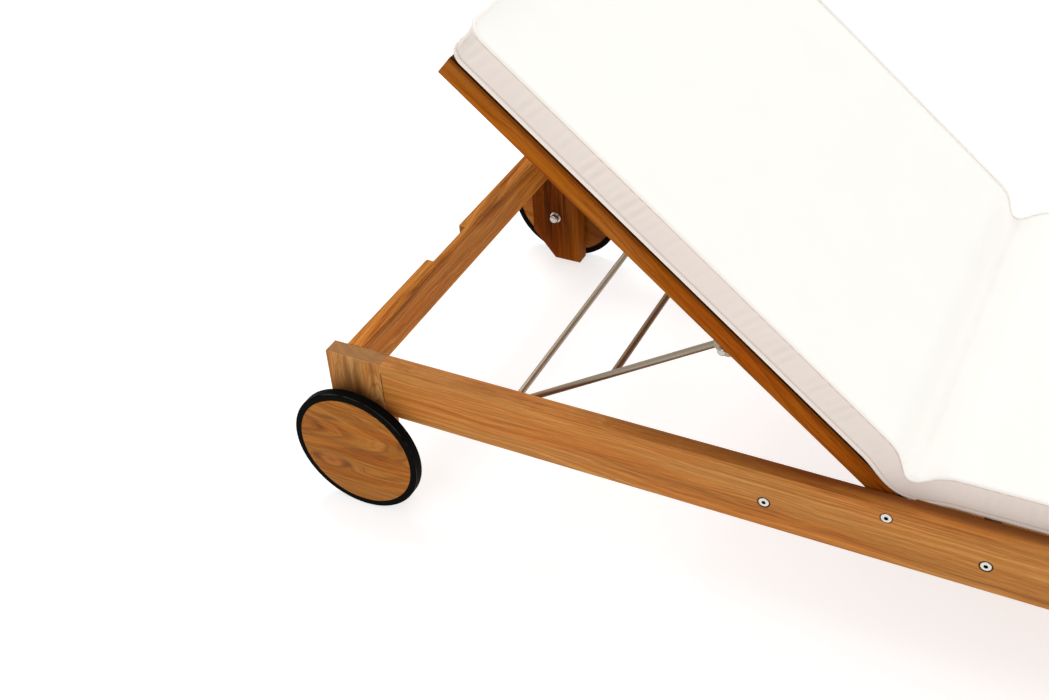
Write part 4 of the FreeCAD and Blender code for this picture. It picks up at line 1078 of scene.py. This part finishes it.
def spindle(length, thickness):
    """A closed spindle along its first axis: rings of six points whose radius is the root of a half sine,
    with a point at each tip."""
    place = np.linspace(0, 1, STITCH_RINGS + 2)[1:-1]
    turn = np.arange(STITCH_SIDES) * 2 * np.pi / STITCH_SIDES
    radius = thickness / 2 * np.sqrt(np.sin(np.pi * place))
    body = np.stack([np.repeat((place - 0.5) * length, STITCH_SIDES), np.outer(radius, np.cos(turn)).ravel(),
                     np.outer(radius, np.sin(turn)).ravel()], 1)
    vertices = np.concatenate([body, [[-length / 2, 0, 0], [length / 2, 0, 0]]])
    base, k = np.meshgrid(np.arange(STITCH_RINGS - 1) * STITCH_SIDES, np.arange(STITCH_SIDES), indexing="ij")
    base, k = base.ravel(), k.ravel()
    after = (k + 1) % STITCH_SIDES
    one = np.stack([base + STITCH_SIDES + after, base + STITCH_SIDES + k, base + k], 1)
    other = np.stack([base + after, base + STITCH_SIDES + after, base + k], 1)
    k = np.arange(STITCH_SIDES)
    after = (k + 1) % STITCH_SIDES
    top = (STITCH_RINGS - 1) * STITCH_SIDES
    first, last = np.full(STITCH_SIDES, len(body)), np.full(STITCH_SIDES, len(body) + 1)
    tips = [np.stack([after, k, first], 1), np.stack([top + k, top + after, last], 1)]
    return vertices, np.concatenate([one, other, *tips])


# %% the row of stitches
STITCH_STEP = 3.6 * MM
STITCH_OUT = 0.35 * BORDER_SWELL
stitch, triangles = spindle(2.7 * MM, 0.7 * MM)
points, outward, ahead, _ = seam_path(STITCH_STEP)
level = np.zeros((len(points), 1))
start, out_3d, ahead_3d = (np.concatenate(pair, 1) for pair in
                           ((points, level + HEM), (outward, level), (ahead, level)))
placed = (start[:, None] + ahead_3d[:, None] * stitch[None, :, 0, None]
          + out_3d[:, None] * (stitch[None, :, 1, None] + STITCH_OUT)
          + np.array([0, 0, 1.0]) * stitch[None, :, 2, None])
faces = (triangles[None] + (np.arange(len(points)) * len(stitch))[:, None, None]).reshape(-1, 3)
stitching = mesh_object("mattress_stitching", lay(placed.reshape(-1, 3)), faces)


# %% thread
def thread(name):
    """Waxed sewing thread, a shade darker than the canvas, with a fine twist."""
    finish = Finish(name, Sheen_Weight=0.2)
    where = finish.place()
    fuzz = finish.noise(where, 2.2, 2)
    colour = fuzz.blend(rgba(srgb(196, 184, 170)), rgba(srgb(226, 218, 206)))
    return finish.feed(Base_Color=colour, Roughness=0.6 + fuzz * 0.2, Normal=finish.bump(fuzz, 0.1, 0.5))


stitching.data.materials.append(thread("thread"))
fold_with_backrest(stitching)
print("stitches:", len(points))

# %% [markdown]
# ## The studio
#
# The lounger stands on a pale, softly glowing floor, as on a light table, so that its shadow stays faint
# and the undersides get light from below. Soft boxes stand on the wheel side, above the head end and
# above the foot end, and an even white world fills the rest. The world looks paler straight on than it
# shines, so that the wall behind the floor is about as light as the floor.

# %% floor
def pale_floor():
    """A wide, closed slab half a millimetre under the ground, white, with a little light of its own."""
    wide, thick, cells = 18.0, 0.02, (6, 6, 1)
    lattice, quads, _ = box_skin(cells)
    shares = lattice / np.array(cells)
    vertices = (shares - [0.5, 0.5, 1]) * [wide, wide, thick] - [0, 0, 0.5 * MM]
    floor = mesh_object("floor", vertices, quads, smooth=False)
    finish = Finish("floor_white", Roughness=0.9, Specular_IOR_Level=0.1, Emission_Strength=0.66)
    cloud = finish.noise(finish.place(unit=1.0), 0.6, 2)
    floor.data.materials.append(finish.feed(
        Base_Color=cloud.blend(rgba((0.50, 0.50, 0.50)), rgba((0.53, 0.53, 0.53))),
        Emission_Color=cloud.blend(rgba((0.99, 0.99, 0.99)), rgba((1, 1, 1)))))


pale_floor()


# %% lights
def level_axes(back):
    """Right and up for something that looks away from back, with its right kept level."""
    right = np.cross([0, 0, 1], back)
    right /= np.linalg.norm(right)
    return right, np.cross(back, right)


def placed_at(axes, place):
    """The matrix of an object that stands at place, with its right, up and back directions as axes."""
    return Matrix([[*row_of, where] for row_of, where in zip(np.stack(axes, 1), place)] + [[0, 0, 0, 1]])


def softbox(name, place, aim, size, power):
    """A square area light at place that looks at aim, with its upper edge level."""
    data = bpy.data.lights.new(name, "AREA")
    data.size = size
    data.energy = power
    lamp = bpy.data.objects.new(name, data)
    toward = np.array(aim) - np.array(place)
    back = -toward / np.linalg.norm(toward)
    lamp.matrix_world = placed_at((*level_axes(back), back), place)
    bpy.context.scene.collection.objects.link(lamp)
    print(name, "at", place, "with", power, "W")


softbox("side_light", (-3.3, 0.45, 2.4), (0, 0.4, 0.3), 1.7, 20)
softbox("head_light", (1.1, 2.1, 3.3), (0, 0.5, 0.25), 1.6, 50)
softbox("foot_light", (-0.2, -3.4, 2.4), (0, 0.2, 0.4), 1.6, 62)

# %% the world
WORLD_LIGHT, WORLD_SEEN = 0.6, 0.94
world = bpy.data.worlds.new("studio")
world.use_nodes = True
sky = world.node_tree.nodes
lighting, seen = sky["Background"], sky.new("ShaderNodeBackground")
lighting.inputs["Color"].default_value = (WORLD_LIGHT, WORLD_LIGHT, WORLD_LIGHT, 1)
seen.inputs["Color"].default_value = (WORLD_SEEN, WORLD_SEEN, WORLD_SEEN, 1)
choice = sky.new("ShaderNodeMixShader")
for start, end in ((sky.new("ShaderNodeLightPath").outputs["Is Camera Ray"], choice.inputs[0]),
                   (lighting.outputs[0], choice.inputs[1]), (seen.outputs[0], choice.inputs[2]),
                   (choice.outputs[0], sky["World Output"].inputs["Surface"])):
    world.node_tree.links.new(start, end)
bpy.context.scene.world = world
bpy.context.scene.view_settings.view_transform = "Standard"
print("world:", WORLD_LIGHT, "as light and", WORLD_SEEN, "as seen")

# %% [markdown]
# ## The camera
#
# The camera stands on the wheel side and looks down at the head end of the frame. A constraint could aim
# it at a point, but three angles say the same with nothing to track: a compass angle round the lounger, a
# height above the horizon, and a slight roll.

# %% camera
CAMERA_PLACE = (-1.62985, -0.10655, 1.50625)
CAMERA_AZIMUTH, CAMERA_HEIGHT, CAMERA_ROLL = (math.radians(angle) for angle in (-60.903, 37.911, -4.123))
CAMERA_LENS, SENSOR_WIDTH = 47.71, 36


def camera_axes(azimuth, height, roll):
    """Right, up and back directions of a camera."""
    back = np.array([math.sin(azimuth) * math.cos(height), -math.cos(azimuth) * math.cos(height),
                     math.sin(height)])
    right, up = level_axes(back)
    rolled_right = math.cos(roll) * right + math.sin(roll) * up
    rolled_up = math.cos(roll) * up - math.sin(roll) * right
    return rolled_right, rolled_up, back


camera_data = bpy.data.cameras.new("camera")
camera_data.lens = CAMERA_LENS
camera_data.sensor_width = SENSOR_WIDTH
camera_data.clip_start = 0.05
camera = bpy.data.objects.new("camera", camera_data)
axes = camera_axes(CAMERA_AZIMUTH, CAMERA_HEIGHT, CAMERA_ROLL)
camera.matrix_world = placed_at(axes, CAMERA_PLACE)
bpy.context.scene.collection.objects.link(camera)
bpy.context.scene.camera = camera
print("camera at", CAMERA_PLACE, "with a", CAMERA_LENS, "mm lens")
